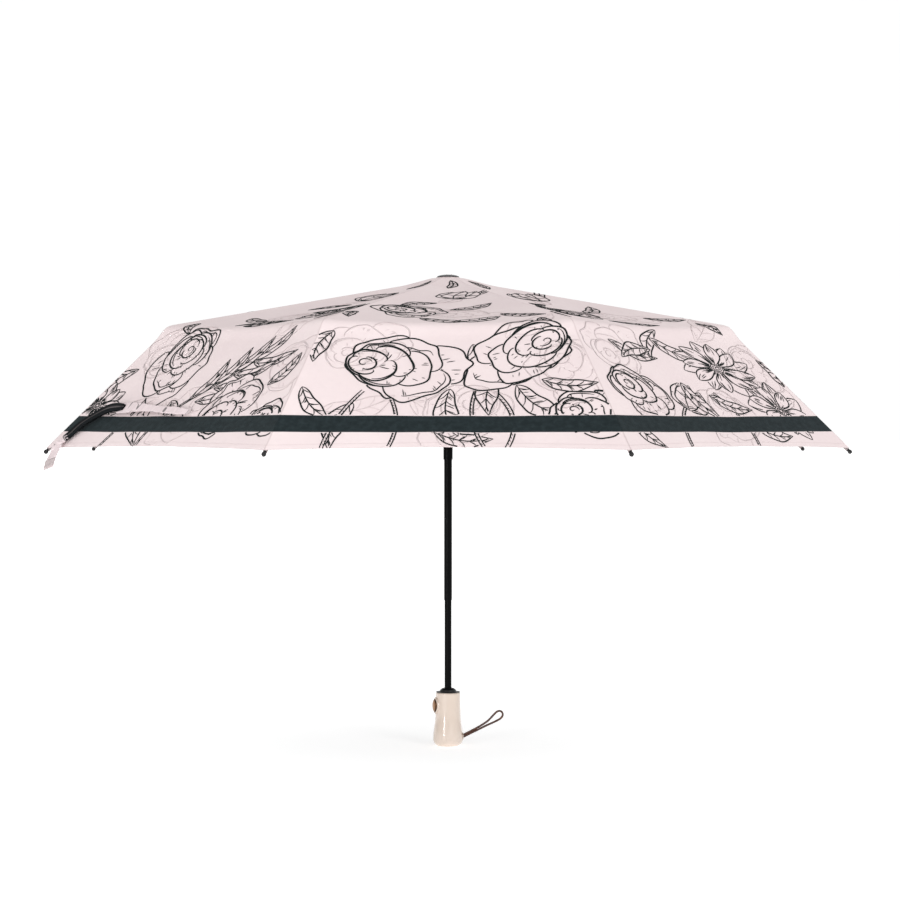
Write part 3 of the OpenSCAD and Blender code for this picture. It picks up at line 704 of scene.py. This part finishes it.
def ghost_flowers(sketch):
    """The paler print under the ink: a few large roses and leaves, turned another way."""
    sketch.rose(20, 128, 60, 2.0, petals=9)
    sketch.rose(-96, 40, 52, -0.6, petals=9)
    sketch.rose(120, 62, 56, 1.2, petals=9)
    sketch.rose(10, -70, 50, 0.2, petals=9)
    sketch.leaves(
        (-40, 110, 90, 34, 0.4), (60, 20, 80, 30, -0.9), (-130, 130, 80, 30, -0.3),
        (-10, -150, 60, 20, -1.2),
    )


LAYOUTS = [
    (front_flowers, 11, 1),
    (left_flowers, 12, -1),
    (right_flowers, 13, 1),
    (left_flowers, 14, 1),
]
sketches, ghosts = [], []
for paint, seed, sign in LAYOUTS:
    sketch = Sketch(seed)
    paint(sketch)
    roof_flowers(sketch, sign)
    sketches.append(sketch)
    ghost = Sketch(seed + 50)
    ghost_flowers(ghost)
    ghosts.append(ghost)
GORE_LAYOUT = [0, 3, 2, 1, 1, 0, 2, 3]

ink = Finish("print_ink", Roughness=0.8, Specular_IOR_Level=0.1)
ink_grain = ink.noise(900.0, 3.0)
ink.set(Base_Color=ink.mix(ink_grain.step(0.3, 0.75), (0.006, 0.009, 0.009), (0.018, 0.024, 0.024)))
ink.bump(ink_grain, 0.00004)
ghost_ink = Finish("ghost_print", Roughness=0.8, Specular_IOR_Level=0.12)
ghost_grain = ghost_ink.noise(260.0, 3.0)
ghost_shade = ghost_ink.mix(ghost_grain.step(0.3, 0.7), (0.640, 0.545, 0.548), (0.680, 0.585, 0.586))
ghost_ink.set(Base_Color=ghost_shade)
ghost_ink.bump(ghost_grain, 0.00004)


def strip_points(sketch, gore, lift, grow):
    """The strips' corners: left, right and under each point of the lines. Left and right are half the pen's
    width to the sides on the flat gore, at the height lift, and the third is buried in the cloth. Also gives
    each point's u and v and the number of its line."""
    line = np.concatenate([points for points, _ in sketch.lines])
    thick = np.concatenate([thick for _, thick in sketch.lines]) * grow
    number = np.repeat(np.arange(len(sketch.lines)), [len(points) for points, _ in sketch.lines])
    ahead = np.concatenate([np.gradient(points, axis=0) for points, _ in sketch.lines])
    side = np.stack([-ahead[:, 1], ahead[:, 0]], axis=1) / np.hypot(*ahead.T)[:, None] * thick[:, None] / 2
    corners = []
    for flat, height in ((line + side, lift), (line - side, lift), (line, INK_ROOT)):
        u = KNEE_U + flat[:, 1] / np.where(flat[:, 1] > 0, SKIRT_SHARE, ROOF_SHARE)
        v = flat[:, 0] / (np.interp(u, fine_u, line_r) * math.sin(HALF_GORE))
        corners.append(cloth(gore, u, v, height))
    return np.stack(corners, axis=1), u, v, number


INK_LIFT, INK_GROW = 0.80, 1.35
GHOST_LIFT, GHOST_GROW = 0.64, 1.1
printed_strips = [
    (
        strip_points(sketches[layout], gore, INK_LIFT, INK_GROW),
        strip_points(ghosts[layout], gore, GHOST_LIFT, GHOST_GROW),
    )
    for gore, layout in enumerate(GORE_LAYOUT)
]


def ink_on_piece(name, gore, rib, side, span):
    """The strips whose middles lie on this piece of cloth: three corners at each point, three faces along
    each length and a face over each end."""
    first, last, _ = spans[span]
    last = RIM_U if last is None else last
    points, faces, kinds, start = [], [], [], 0
    for kind, (corners, u, v, number) in enumerate(printed_strips[gore]):
        middle_u, middle_v = (u[1:] + u[:-1]) / 2, (v[1:] + v[:-1]) / 2
        rim = rim_u(middle_v) - 0.8
        keep = (number[1:] == number[:-1]) & (np.abs(middle_v) < 0.99) & (middle_v * side < 0)
        keep &= (middle_u >= first) & (middle_u < last) & (middle_u < rim)
        begin = np.flatnonzero(keep)
        opens = begin[~np.isin(begin - 1, begin)]
        closes = begin[~np.isin(begin + 1, begin)] + 1
        at = start + begin * 3
        left, right, under = at, at + 1, at + 2
        quads = np.concatenate(
            [
                np.stack([left, left + 3, right + 3, right], axis=1),
                np.stack([left, under, under + 3, left + 3], axis=1),
                np.stack([right, right + 3, under + 3, under], axis=1),
            ]
        )
        heads, tails = start + opens * 3, start + closes * 3
        head_caps = np.stack([heads, heads + 1, heads + 2], axis=1)
        tail_caps = np.stack([tails, tails + 2, tails + 1], axis=1)
        faces += quads.tolist() + head_caps.tolist() + tail_caps.tolist()
        kinds += [kind] * (len(quads) + len(head_caps) + len(tail_caps))
        points.append(corners.reshape(-1, 3))
        start += len(corners) * 3
    points = np.concatenate(points) * MM
    used, renumbered = np.unique(np.concatenate([np.array(face) for face in faces]), return_inverse=True)
    sizes = np.cumsum([len(face) for face in faces])[:-1]
    faces = [part.tolist() for part in np.split(renumbered, sizes)]
    name = name.replace("canopy", "print")
    return new_piece(name, points[used], faces, [ink, ghost_ink], face_materials=kinds)


# ---------- Canopy pieces ----------
# Each gore is divided down its middle and at the rib joints, and each piece is carried by the rib section
# beside it. Its print lies on it and rides with it.

# Each rib section's cloth: how far down the rib it starts and ends, None being the rim, and its rows
KNEE_REACH = 13
spans = {
    "inner_arm": (0.0, ELBOW_U, 22),
    "middle_arm": (ELBOW_U, KNEE_U - KNEE_REACH, 20),
    "outer_arm": (KNEE_U - KNEE_REACH, None, 34),
}
columns = 1 - np.concatenate([[0, 0.006, 0.013, 0.03, 0.06], np.linspace(0.11, 1, 12)])
gathers = {}


def follow(piece, body, axis, anchor):
    """The piece rides on body, with a mesh of its own. axis and anchor, in metres, are not used."""
    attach(piece, body)
    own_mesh(piece)


def two_skins(rows, across, flip):
    """The faces of two like grids, the second behind the first and joined to it round the border, and the
    number of each face's material: 0 outside and round the border, and 1 inside."""
    top = grid_faces(rows, across, flip=flip)
    grid = rows * across
    index = np.arange(grid).reshape(rows, across)
    border = np.concatenate([index[0, :], index[1:, -1], index[-1, -2::-1], index[-2::-1, 0]])
    walls = np.stack([border[:-1], border[1:], border[1:] + grid, border[:-1] + grid], axis=1)
    walls = walls if flip else walls[:, ::-1]
    kinds = [0] * len(top) + [1] * len(top) + [0] * len(walls)
    return np.concatenate([top, top[:, ::-1] + grid, walls]), kinds


def rib_turn(rib):
    """The angle of a rib round the shaft: the first stands half a gore past the x axis."""
    return math.radians(22.5 + 45 * rib)


def gather_line(rib, span, side):
    """For the cloth on one side of a rib section: a direction across the rib and down with the gore, and the
    point of its seam halfway down the section, in metres."""
    angle = rib_turn(rib)
    tangent = np.array([-math.sin(angle), math.cos(angle), 0])
    outward = np.array([math.cos(angle), math.sin(angle), 0])
    slope = SKIRT_SLOPE if span == "outer_arm" else ROOF_SLOPE
    upward = outward * math.sin(slope) + np.array([0, 0, math.cos(slope)])
    sideways = math.sin(HALF_GORE) * math.cos(HALF_GORE) * side
    lateral = np.array([sideways, -math.sin(HALF_GORE) ** 2 * math.sin(slope)])
    lateral /= np.hypot(*lateral)
    first, last, _ = spans[span]
    middle = (first + (RIM_U if last is None else last)) / 2
    return tangent * lateral[0] + upward * lateral[1], cloth((rib - 1) % GORES, [middle], [1.0])[0] * MM


def mark_cloth(mesh, u, v):
    """Gives both skins their place on the flat gore as a UV map, and how far off the seam and the hem are, in
    metres."""
    place = np.tile(np.stack(gore_place(u, v), axis=-1).reshape(-1, 2) * MM, (2, 1))
    corner = np.empty(len(mesh.loops), dtype=np.int32)
    mesh.loops.foreach_get("vertex_index", corner)
    mesh.uv_layers.new(name="gore").data.foreach_set("uv", place[corner].ravel())
    to_seam = np.interp(u, fine_u, line_r) * math.sin(HALF_GORE) * (1 - np.abs(v))
    for label, amount in (("seam", to_seam), ("hem", rim_u(v) - u)):
        values = np.tile(amount.ravel() * MM, 2).astype(np.float32)
        mesh.attributes.new(label, "FLOAT", "POINT").data.foreach_set("value", values)


def half_gore(rib, span, side):
    """Half a gore beside one rib section: the cloth's outer skin, its coated inner skin, and its print."""
    gore = (rib - 1) % GORES if side == -1 else rib
    first, last, rows = spans[span]
    v = np.broadcast_to(-side * columns, (rows, len(columns)))
    end = rim_u(v) if last is None else np.full(v.shape, last)
    u = first + np.linspace(0, 1, rows)[:, None] * (end - first)
    normal = cloth_normal(gore, u, v)
    outer = cloth(gore, u, v, CLOTH_LIFT)
    inner = outer - CLOTH_THICK * normal
    faces, kinds = two_skins(rows, len(columns), flip=side == 1)
    points = np.concatenate([outer.reshape(-1, 3), inner.reshape(-1, 3)]) * MM
    name = f"canopy_{span.split('_')[0]}_{rib + 1}{'a' if side == -1 else 'b'}"
    piece = new_piece(name, points, faces, [printed, coating], face_materials=kinds)
    mark_cloth(piece.data, u, v)
    facing = np.concatenate([normal.reshape(-1, 3), -normal.reshape(-1, 3)])
    piece.data.normals_split_custom_set_from_vertices(facing.tolist())

    body = f"{span}_{rib + 1}"
    gathers[span, rib, side] = gather_line(rib, span, side)
    follow(piece, body, *gathers[span, rib, side])
    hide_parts("canopy")
    inked = ink_on_piece(name, gore, rib, side, span)
    follow(inked, body, *gathers[span, rib, side])

    length = float((u[-1] - u[0]).max())


for rib in range(GORES):
    for span in spans:
        for side in (-1, 1):
            half_gore(rib, span, side)


# ---------- Closure strap ----------
# A printed flap sewn to one gore, a black strip rolled in two beads that it is gathered into, and a short
# printed tail with a soft hook pad, which hangs past the rim. It wraps the closed umbrella.

strap_stations = np.array(
    [
        [133, 24, 2.4], [130, 0, 2.2], [127, -32, 2], [125, -64, 2], [125, -92, 2.2],
        [127, -115, 2.4], [136, -131, 2.4], [150, -143, 2.4], [164, -150, 2.4], [177, -157, 3],
        [190, -155, 3.6], [216, -144, 3],
    ],
    float,
)
panel_slope = math.atan(math.tan(SKIRT_SLOPE) / math.cos(HALF_GORE))
panel_start = along(knee, SKIRT_SLOPE, 0, 5.7)
STRAP_ANGLE = math.radians(225)


def on_panel(places):
    """[down, across, height] on the flat middle plane of the strap's gore, turned down by its slope and then
    round to the gore's direction, in metres."""
    out = places[:, 0] * math.cos(panel_slope) + places[:, 2] * math.sin(panel_slope)
    out += panel_start[0] * math.cos(HALF_GORE)
    up = panel_start[1] - places[:, 0] * math.sin(panel_slope) + places[:, 2] * math.cos(panel_slope)
    c, s = math.cos(STRAP_ANGLE), math.sin(STRAP_ANGLE)
    return np.stack([out * c - places[:, 1] * s, out * s + places[:, 1] * c, up], axis=1) * MM


strap_up = (
    math.sin(panel_slope) * math.cos(STRAP_ANGLE),
    math.sin(panel_slope) * math.sin(STRAP_ANGLE),
    math.cos(panel_slope),
)
STATION_STEPS = 14
STRAP_SIDES = 40
strap_line = smooth_line(strap_stations, STATION_STEPS)
strap_gather = gathers["outer_arm", 4, 1]


def strap_part(name, first, last, finish, width, thick, beads=0.0, rise=0.0):
    """Part of the strap between two stations, with its length and mean width. Its flat rounded outline is
    across = w/2 cos|cos|^-0.65 and over = t/2 sin|sin|^-0.4, and beads b multiplies over by
    1 - b cos(4 pi across/w). Width and thickness change with q, the share of the way along."""
    line = strap_line[int(first * STATION_STEPS) : int(last * STATION_STEPS) + 1].copy()
    q = np.linspace(0, 1, len(line))[:, None]
    line[:, 2] += 0.6 + rise + 0.4 * np.sin(q[:, 0] * 11)
    line = on_panel(line)
    turn = np.linspace(0, 2 * np.pi, STRAP_SIDES, endpoint=False)[None, :]
    side = np.sign(np.cos(turn)) * np.abs(np.cos(turn)) ** 0.35
    over = np.sign(np.sin(turn)) * np.abs(np.sin(turn)) ** 0.6 * (1 - beads * np.cos(2 * np.pi * side))
    wide, deep = width(q) / 2 * MM, thick(q) / 2 * MM
    curl = 0.00025 * np.sin(9 * q) * side
    points, faces = swept(line, wide * side, deep * over + curl, strap_up)
    piece = new_piece(name, points, faces, [finish])
    length = float(np.linalg.norm(np.diff(line, axis=0), axis=1).sum())
    along_uv(piece, len(line), STRAP_SIDES, length, float(wide.mean() * 4))
    follow(piece, "outer_arm_5", *strap_gather)
    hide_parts("closure_strap")
    return piece, length, float(wide.mean() * 2)


flap_cloth = Finish("flap_cloth", Roughness=0.8, Specular_IOR_Level=0.12, Sheen_Weight=0.04)
flap_place = flap_cloth.node("ShaderNodeUVMap", {"uv_map": "along"})[0]
flap_cloud = flap_cloth.noise(60.0, 1.0, flap_place)
flap_lines = 1 - ((flap_cloud * 4.0).part() - 0.5).flat().step(0.03, 0.09)
flap_mottle = flap_cloth.noise(300.0, 3.0, flap_place).step(0.3, 0.7)
flap_shade = flap_cloth.mix(flap_mottle, (0.62, 0.53, 0.54), (0.70, 0.60, 0.61))
flap_cloth.set(Base_Color=flap_cloth.mix(flap_lines * 0.75, flap_shade, (0.02, 0.026, 0.026)))
flap_cloth.bump(flap_cloth.noise(240.0, 3.0, flap_place), 0.0006, 0.6)

elastic = Finish("black_elastic", Roughness=0.6, Specular_IOR_Level=0.12)
elastic_place = elastic.node("ShaderNodeUVMap", {"uv_map": "along"})[0]
elastic_round, elastic_way, _ = elastic.node("ShaderNodeSeparateXYZ", None, elastic_place)
cords = elastic_round.wave(0.0011) * (elastic_way + elastic_round * 0.3).wave(0.0014)
# Painted highlight: a thin pale line down the middle of the top of the rolled strip.
top_highlight_line = 1 - (elastic_round - 0.0065).flat().step(0.0001, 0.0005)
webbing = elastic.mix(cords.step(-0.4, 0.9), (0.002, 0.003, 0.004), (0.008, 0.010, 0.012))
elastic.set(Base_Color=elastic.mix(top_highlight_line * 0.5, webbing, (0.22, 0.19, 0.19)))
elastic.bump(cords, 0.00015)

pad_cloth = Finish("hook_pad", Roughness=0.9, Specular_IOR_Level=0.1)
pad_noise = pad_cloth.noise(2200.0, 2.0)
pad_cloth.set(Base_Color=pad_cloth.mix(pad_noise.step(0.35, 0.65), (0.40, 0.34, 0.34), (0.56, 0.49, 0.49)))
pad_cloth.bump(pad_noise, 0.0004)

flap, flap_length, flap_width = strap_part(
    "strap_flap", 0, 4.4, flap_cloth,
    width=lambda q: 4 + 10.5 * q**0.6 + 1.5 * np.sin(9 * q),
    thick=lambda q: 0.7 + 0 * q,
)
roll, roll_length, roll_width = strap_part(
    "strap_roll", 4, 8.6, elastic,
    width=lambda q: (14.0 - 1.8 * q) * (1 - 0.5 * (1 - q) ** 14),
    thick=lambda q: 3.8 - 0.8 * q,
    beads=0.5,
    rise=0.9,
)
ruffle, _, _ = strap_part(
    "strap_gather", 8.4, 9.5, flap_cloth,
    width=lambda q: 11 - 2 * q + 0.8 * np.sin(25 * q),
    thick=lambda q: 2.6 + 0.6 * np.sin(19 * q),
    rise=0.4,
)
tail, tail_length, tail_width = strap_part(
    "strap_tail", 9.3, 11, flap_cloth,
    width=lambda q: 14.2 - 0.8 * q,
    thick=lambda q: 0.9 + 0 * q,
)
pad, _, _ = strap_part(
    "strap_pad", 10.55, 11, pad_cloth,
    width=lambda q: 13.2 * (1 - 0.5 * q**5),
    thick=lambda q: 1.4 + 0 * q,
    rise=0.6,
)


# ---------- Ties and tip threads ----------
# Loops of black thread tie the cloth to every rib, through the seam and round the channel or the rod. A
# whipping of pale thread holds each corner of the cloth to its tip cap.

def spun_thread(name, dark, light):
    """Twisted thread: its plies run across the sum of the three directions, 0.7 mm apart."""
    finish = Finish(name, Roughness=0.7, Specular_IOR_Level=0.2)
    ply = (finish.place()[1] + finish.place()[2] + finish.place()[3]).wave(0.0007)
    finish.set(Base_Color=finish.mix(ply.step(-0.6, 0.8), dark, light))
    finish.bump(ply, 0.0001)
    return finish


thread = spun_thread("black_thread", (0.008, 0.008, 0.009), (0.030, 0.030, 0.033))
pale_thread = spun_thread("pale_thread", (0.48, 0.40, 0.40), (0.66, 0.57, 0.57))


def on_rib(rib, start, slope, places):
    """[along, across, above] a rib's own line, in mm, put at that rib: sloped down, then turned to it."""
    r, z = along(start, slope, places[..., 0], places[..., 2])
    c, s = math.cos(rib_turn(rib)), math.sin(rib_turn(rib))
    return np.stack([r * c - places[..., 1] * s, r * s + places[..., 1] * c, z], axis=-1) * MM


def loop_tube(line, radius, sides=8):
    """A round tube along a closed line: at each point, a ring in the plane of outward and the loop's axis."""
    middle = line.mean(axis=0)
    ahead = np.roll(line, -1, axis=0) - np.roll(line, 1, axis=0)
    ahead /= np.linalg.norm(ahead, axis=1, keepdims=True)
    out = line - middle
    out -= (out * ahead).sum(axis=1, keepdims=True) * ahead
    out /= np.linalg.norm(out, axis=1, keepdims=True)
    axis = np.cross(ahead, out)
    turn = np.linspace(0, 2 * np.pi, sides, endpoint=False)[None, :, None]
    rings = line[:, None] + radius * (np.cos(turn) * out[:, None] + np.sin(turn) * axis[:, None])
    rows = len(line)
    i, j = (g.ravel() for g in np.meshgrid(np.arange(rows), np.arange(sides), indexing="ij"))
    near, far, k = i * sides, (i + 1) % rows * sides, (j + 1) % sides
    return rings.reshape(-1, 3), np.stack([near + j, far + j, far + k, near + k], axis=1)


elbow_place = along(crown_hinge, ROOF_SLOPE, INNER_LEN, 0)
TIES = [
    ("inner_arm", crown_hinge, ROOF_SLOPE, (52, 74, 122), 2.5, -5.7, 1.4),
    ("middle_arm", elbow_place, ROOF_SLOPE, (40, 84, 128), 2.5, -5.7, 1.4),
    ("outer_arm", knee, SKIRT_SLOPE, (44, 90, 140), 1.7, 1.0, 4.6),
]
THREAD_R, WHIP_R = 0.4, 0.35
WHIP_TURNS, WHIP_LENGTH = 5, 5


def tie(rib, span, start, slope, stops, half_w, low, high):
    """The ties of one rib section: at each stop, two loops side by side that lean across each other."""
    swing = np.linspace(0, 2 * np.pi, 24, endpoint=False)
    cos, sin = np.cos(swing), np.sin(swing)
    points, faces = [], []
    for stop in stops:
        for lean in (-0.5, 0.5):
            ahead = stop + lean * (1 + sin)
            across = half_w * np.sign(cos) * np.abs(cos) ** 0.5
            above = (low + high) / 2 + (high - low) / 2 * np.sign(sin) * np.abs(sin) ** 0.6
            loop = on_rib(rib, start, slope, np.stack([ahead, across, above], axis=1))
            tube_points, tube_faces = loop_tube(loop, THREAD_R * MM)
            faces.append(tube_faces + len(tube_points) * len(points))
            points.append(tube_points)
    name = f"tie_{span.split('_')[0]}_{rib + 1}"
    piece = new_piece(name, np.concatenate(points), np.concatenate(faces), [thread])
    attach(piece, f"{span}_{rib + 1}")


def whipping(rib):
    """Five turns of thread round the end of an outer rib and the corner of the cloth."""
    turns = np.linspace(0, 2 * np.pi * WHIP_TURNS, 100)
    ahead = OUTER_LEN - 8 + WHIP_LENGTH * turns / turns[-1]
    coil = np.stack([ahead, 2.0 * np.cos(turns), 2.8 + 2.0 * np.sin(turns)], axis=1)
    ring = np.linspace(0, 2 * np.pi, 8, endpoint=False)[None, :]
    across, over = (np.repeat(WHIP_R * MM * way(ring), len(turns), axis=0) for way in (np.cos, np.sin))
    slant = on_rib(rib, (0, 0), SKIRT_SLOPE, np.array([[1.0, 0, 0]]))[0]
    points, faces = swept(on_rib(rib, knee, SKIRT_SLOPE, coil), across, over, slant)
    piece = new_piece(f"tip_thread_{rib + 1}", points, faces, [pale_thread])
    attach(piece, f"outer_arm_{rib + 1}")


for rib in range(GORES):
    for place in TIES:
        tie(rib, *place)
    whipping(rib)


# ---------- Handle ----------
# A glossy moulded shell of cream plastic with a round foot and a pressed-in base cap, and a turned grommet
# of the same plastic for the cord. The knot of the cord is inside it.


def dress(finish, *names):
    """Puts this finish on CAD nodes."""
    for name in names:
        nodes[name].data.materials.clear()
        nodes[name].data.materials.append(finish.material)


cream = Finish("cream_gloss", Roughness=0.2, Coat_Weight=0.9, Coat_Roughness=0.05, Specular_IOR_Level=0.45)
swirl = cream.noise(26.0, 4.0).step(0.3, 0.75)
flow = cream.noise(500.0, 3.0)
cream_shade = cream.mix(swirl, (0.66, 0.545, 0.460), (0.705, 0.595, 0.520))
scuffs = cream.noise(3000.0, 3.0).step(0.68, 0.74)
cream.set(
    Base_Color=cream.mix(scuffs * 0.15, cream_shade, (0.60, 0.50, 0.42)),
    Roughness=0.14 + flow * 0.12 + scuffs * 0.2,
)
cream.bump(flow + swirl * 0.6, 0.00008, 0.5)
dress(cream, "handle_shell", "base_cap", "cord_grommet")
dress(leather, "cord_knot")


# ---------- Push button ----------
# A pointed oval button of bronze-plated plastic in the side of the handle, brushed up and down, with a dark
# edge. A small spring behind it pushes it out.

BUTTON_ANGLE = math.radians(200)
BUTTON_H, BUTTON_W, BUTTON_Z = 0.008, 0.0052, 0.047
LENS_R = (BUTTON_H**2 + BUTTON_W**2) / (2 * BUTTON_W)
bronze = Finish("bronze", Metallic=0.85, Roughness=0.3)
_, button_x, button_y, button_up = bronze.place()
button_side = (button_y * math.cos(BUTTON_ANGLE) - button_x * math.sin(BUTTON_ANGLE)).flat()
button_high = button_up - BUTTON_Z
button_edge = (LENS_R**2 - button_high * button_high).root() - (LENS_R - BUTTON_W) - button_side
edge_dark = 1 - button_edge.step(0.0006, 0.0017)
brushed = bronze.noise(1.0, 3.0, bronze.stretched_place((4000, 4000, 300)))
plate = bronze.mix(brushed.step(0.3, 0.7), (0.30, 0.150, 0.070), (0.46, 0.25, 0.125))
bronze.set(
    Base_Color=bronze.mix(edge_dark * 0.85, plate, (0.045, 0.020, 0.010)),
    Roughness=0.24 + brushed * 0.2,
)
bronze.bump(brushed * 0.4 - edge_dark, 0.00012)
dress(bronze, "push_button")


# ---------- Housing, crown, runner and top cap ----------
# Black moulded nylon parts: the housing with its domed neck in the handle, the notched crown and runner
# that the ribs and stretchers hang from, and the screwed cap on top. Their skin is finely textured.

nylon = Finish("black_nylon", Roughness=0.4, Specular_IOR_Level=0.3)
nylon_grain = nylon.noise(2600.0, 3.0)
rubbed = nylon.noise(90.0, 3.0).step(0.5, 0.8)
nylon.set(
    Base_Color=nylon.mix(rubbed * 0.5, (0.005, 0.005, 0.0055), (0.014, 0.014, 0.015)),
    Roughness=0.3 + nylon_grain * 0.25 - rubbed * 0.06,
)
nylon.bump(nylon_grain, 0.00006)
dress(nylon, "mechanism_housing", "crown", "runner")

cap_gloss = Finish("top_cap_gloss", Roughness=0.3, Specular_IOR_Level=0.35)
_, cap_x, cap_y, _ = cap_gloss.place()
cap_radius = (cap_x * cap_x + cap_y * cap_y).root()
rings = cap_radius.wave(0.00035)
cap_dust = cap_gloss.noise(1400.0, 3.0)
cap_gloss.set(
    Base_Color=cap_gloss.mix(cap_dust.step(0.5, 0.8) * 0.6, (0.006, 0.006, 0.007), (0.022, 0.021, 0.021)),
    Roughness=0.24 + rings * 0.04 + cap_dust * 0.12,
)
cap_gloss.bump(rings * 0.3 + cap_dust * 0.4, 0.00004)
dress(cap_gloss, "top_cap")

stub_cloth = Finish("thread_ends", Roughness=0.8)
stub_ply = stub_cloth.place()[3].wave(0.0006)
stub_cloth.set(Base_Color=stub_cloth.mix(stub_ply.step(-0.5, 0.7), (0.52, 0.38, 0.38), (0.70, 0.55, 0.55)))
stub_cloth.bump(stub_ply, 0.0001)
cap_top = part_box("top_cap")[1].z
points, faces = [], []
for angle, reach, height in ((-1.9, 5.6, 0.9), (-1.2, 7.4, 0.7), (2.5, 6.4, 0.8)):
    t = np.linspace(0, 1, 12)
    out = (reach + 2.4 * t) * MM
    hop = cap_top - 0.0006 + height * MM * np.sin(np.pi * t) - 0.0004 * t
    stub = np.stack([out * math.cos(angle + 0.1), out * np.sin(angle + 0.1 * t), hop], axis=1)
    ring = np.linspace(0, 2 * np.pi, 8, endpoint=False)[None, :]
    fat = 0.3 * MM * (1 - 0.4 * t**2)[:, None]
    stub_points, stub_faces = swept(stub, fat * np.cos(ring), fat * np.sin(ring), (0, 0.2, 1))
    faces += [[index + sum(len(p) for p in points) for index in face] for face in stub_faces]
    points.append(stub_points)
stubs = new_piece("thread_ends", np.concatenate(points), faces, [stub_cloth])
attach(stubs, "top_shaft")


# ---------- Rosette ----------
# A disc of the canopy's own cloth under the top cap, which stops rain at the crown. It is stitched round
# its edge.

rosette = Finish("rosette_cloth", Roughness=0.8, Specular_IOR_Level=0.12)
_, disc_x, disc_y, _ = rosette.place()
disc_r = (disc_x * disc_x + disc_y * disc_y).root()
disc_weave = disc_x.wave(0.0007) * disc_y.wave(0.0007)
DISC_SEAM_R = 0.0134
disc_ring = 1 - (disc_r - DISC_SEAM_R).flat().step(0.0001, 0.0003)
disc_stitch = disc_ring * (disc_x * 600 + disc_y * 500).part().step(0.4, 0.5)
disc_shade = rosette.mix(rosette.noise(300.0, 3.0).step(0.3, 0.7), (0.70, 0.60, 0.60), (0.76, 0.67, 0.67))
rosette.set(Base_Color=rosette.mix(disc_stitch * 0.5, disc_shade, (0.40, 0.32, 0.32)))
rosette.bump(disc_weave * 0.3 - disc_stitch, 0.0002)
dress(rosette, "fabric_rosette")


# ---------- Shaft and ribs ----------
# Three telescoping steel tubes and the folded steel ribs and stretchers, all painted gloss black. The paint
# is drawn along each tube, and is a little thinner where the tubes rub.

paint = Finish("black_paint", Roughness=0.3, Specular_IOR_Level=0.05)
drawn_marks = paint.noise(1.0, 3.0, paint.stretched_place((1500, 1500, 60)))
thin_paint = paint.noise(70.0, 4.0).step(0.55, 0.85)
paint.set(
    Base_Color=paint.mix(thin_paint * 0.6, (0.002, 0.002, 0.0023), (0.008, 0.008, 0.009)),
    Roughness=0.24 + drawn_marks * 0.14,
)
paint.bump(drawn_marks, 0.00003)
dress(paint, "lower_tube", "middle_tube", "upper_tube")

rib_paint = Finish("rib_paint", Roughness=0.4, Specular_IOR_Level=0.3)
rib_speck = rib_paint.noise(1800.0, 3.0)
chips = rib_paint.noise(420.0, 4.0).step(0.70, 0.74)
rib_shade = rib_paint.mix(rib_speck.step(0.4, 0.8), (0.006, 0.006, 0.0065), (0.018, 0.018, 0.019))
rib_paint.set(
    Base_Color=rib_paint.mix(chips * 0.7, rib_shade, (0.16, 0.155, 0.15)),
    Roughness=0.34 + rib_speck * 0.2,
    Metallic=chips * 0.8,
)
rib_paint.bump(rib_speck - chips, 0.00005)
for rib in range(GORES):
    dress(rib_paint, *(f"{kind}_{rib + 1}" for kind in ("inner_rib", "stretcher", "middle_rib", "outer_rib")))


# ---------- Springs, rings and wires ----------
# Bright spring steel: the two hinge rings, the main spring in the shaft, the button's spring, and the eight
# wires that turn the outer ribs.

steel = Finish("spring_steel", Metallic=1.0, Roughness=0.28)
steel_marks = steel.noise(900.0, 4.0)
oil = steel.noise(160.0, 3.0).step(0.45, 0.8)
steel.set(
    Base_Color=steel.mix(oil * 0.6, (0.56, 0.565, 0.575), (0.34, 0.32, 0.30)),
    Roughness=0.22 + steel_marks * 0.2,
)
steel.bump(steel_marks, 0.00003)
dress(steel, "crown_ring", "runner_ring", "main_spring", "button_spring")
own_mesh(nodes["button_spring"])
dress(steel, *(f"control_wire_{rib + 1}" for rib in range(GORES)))
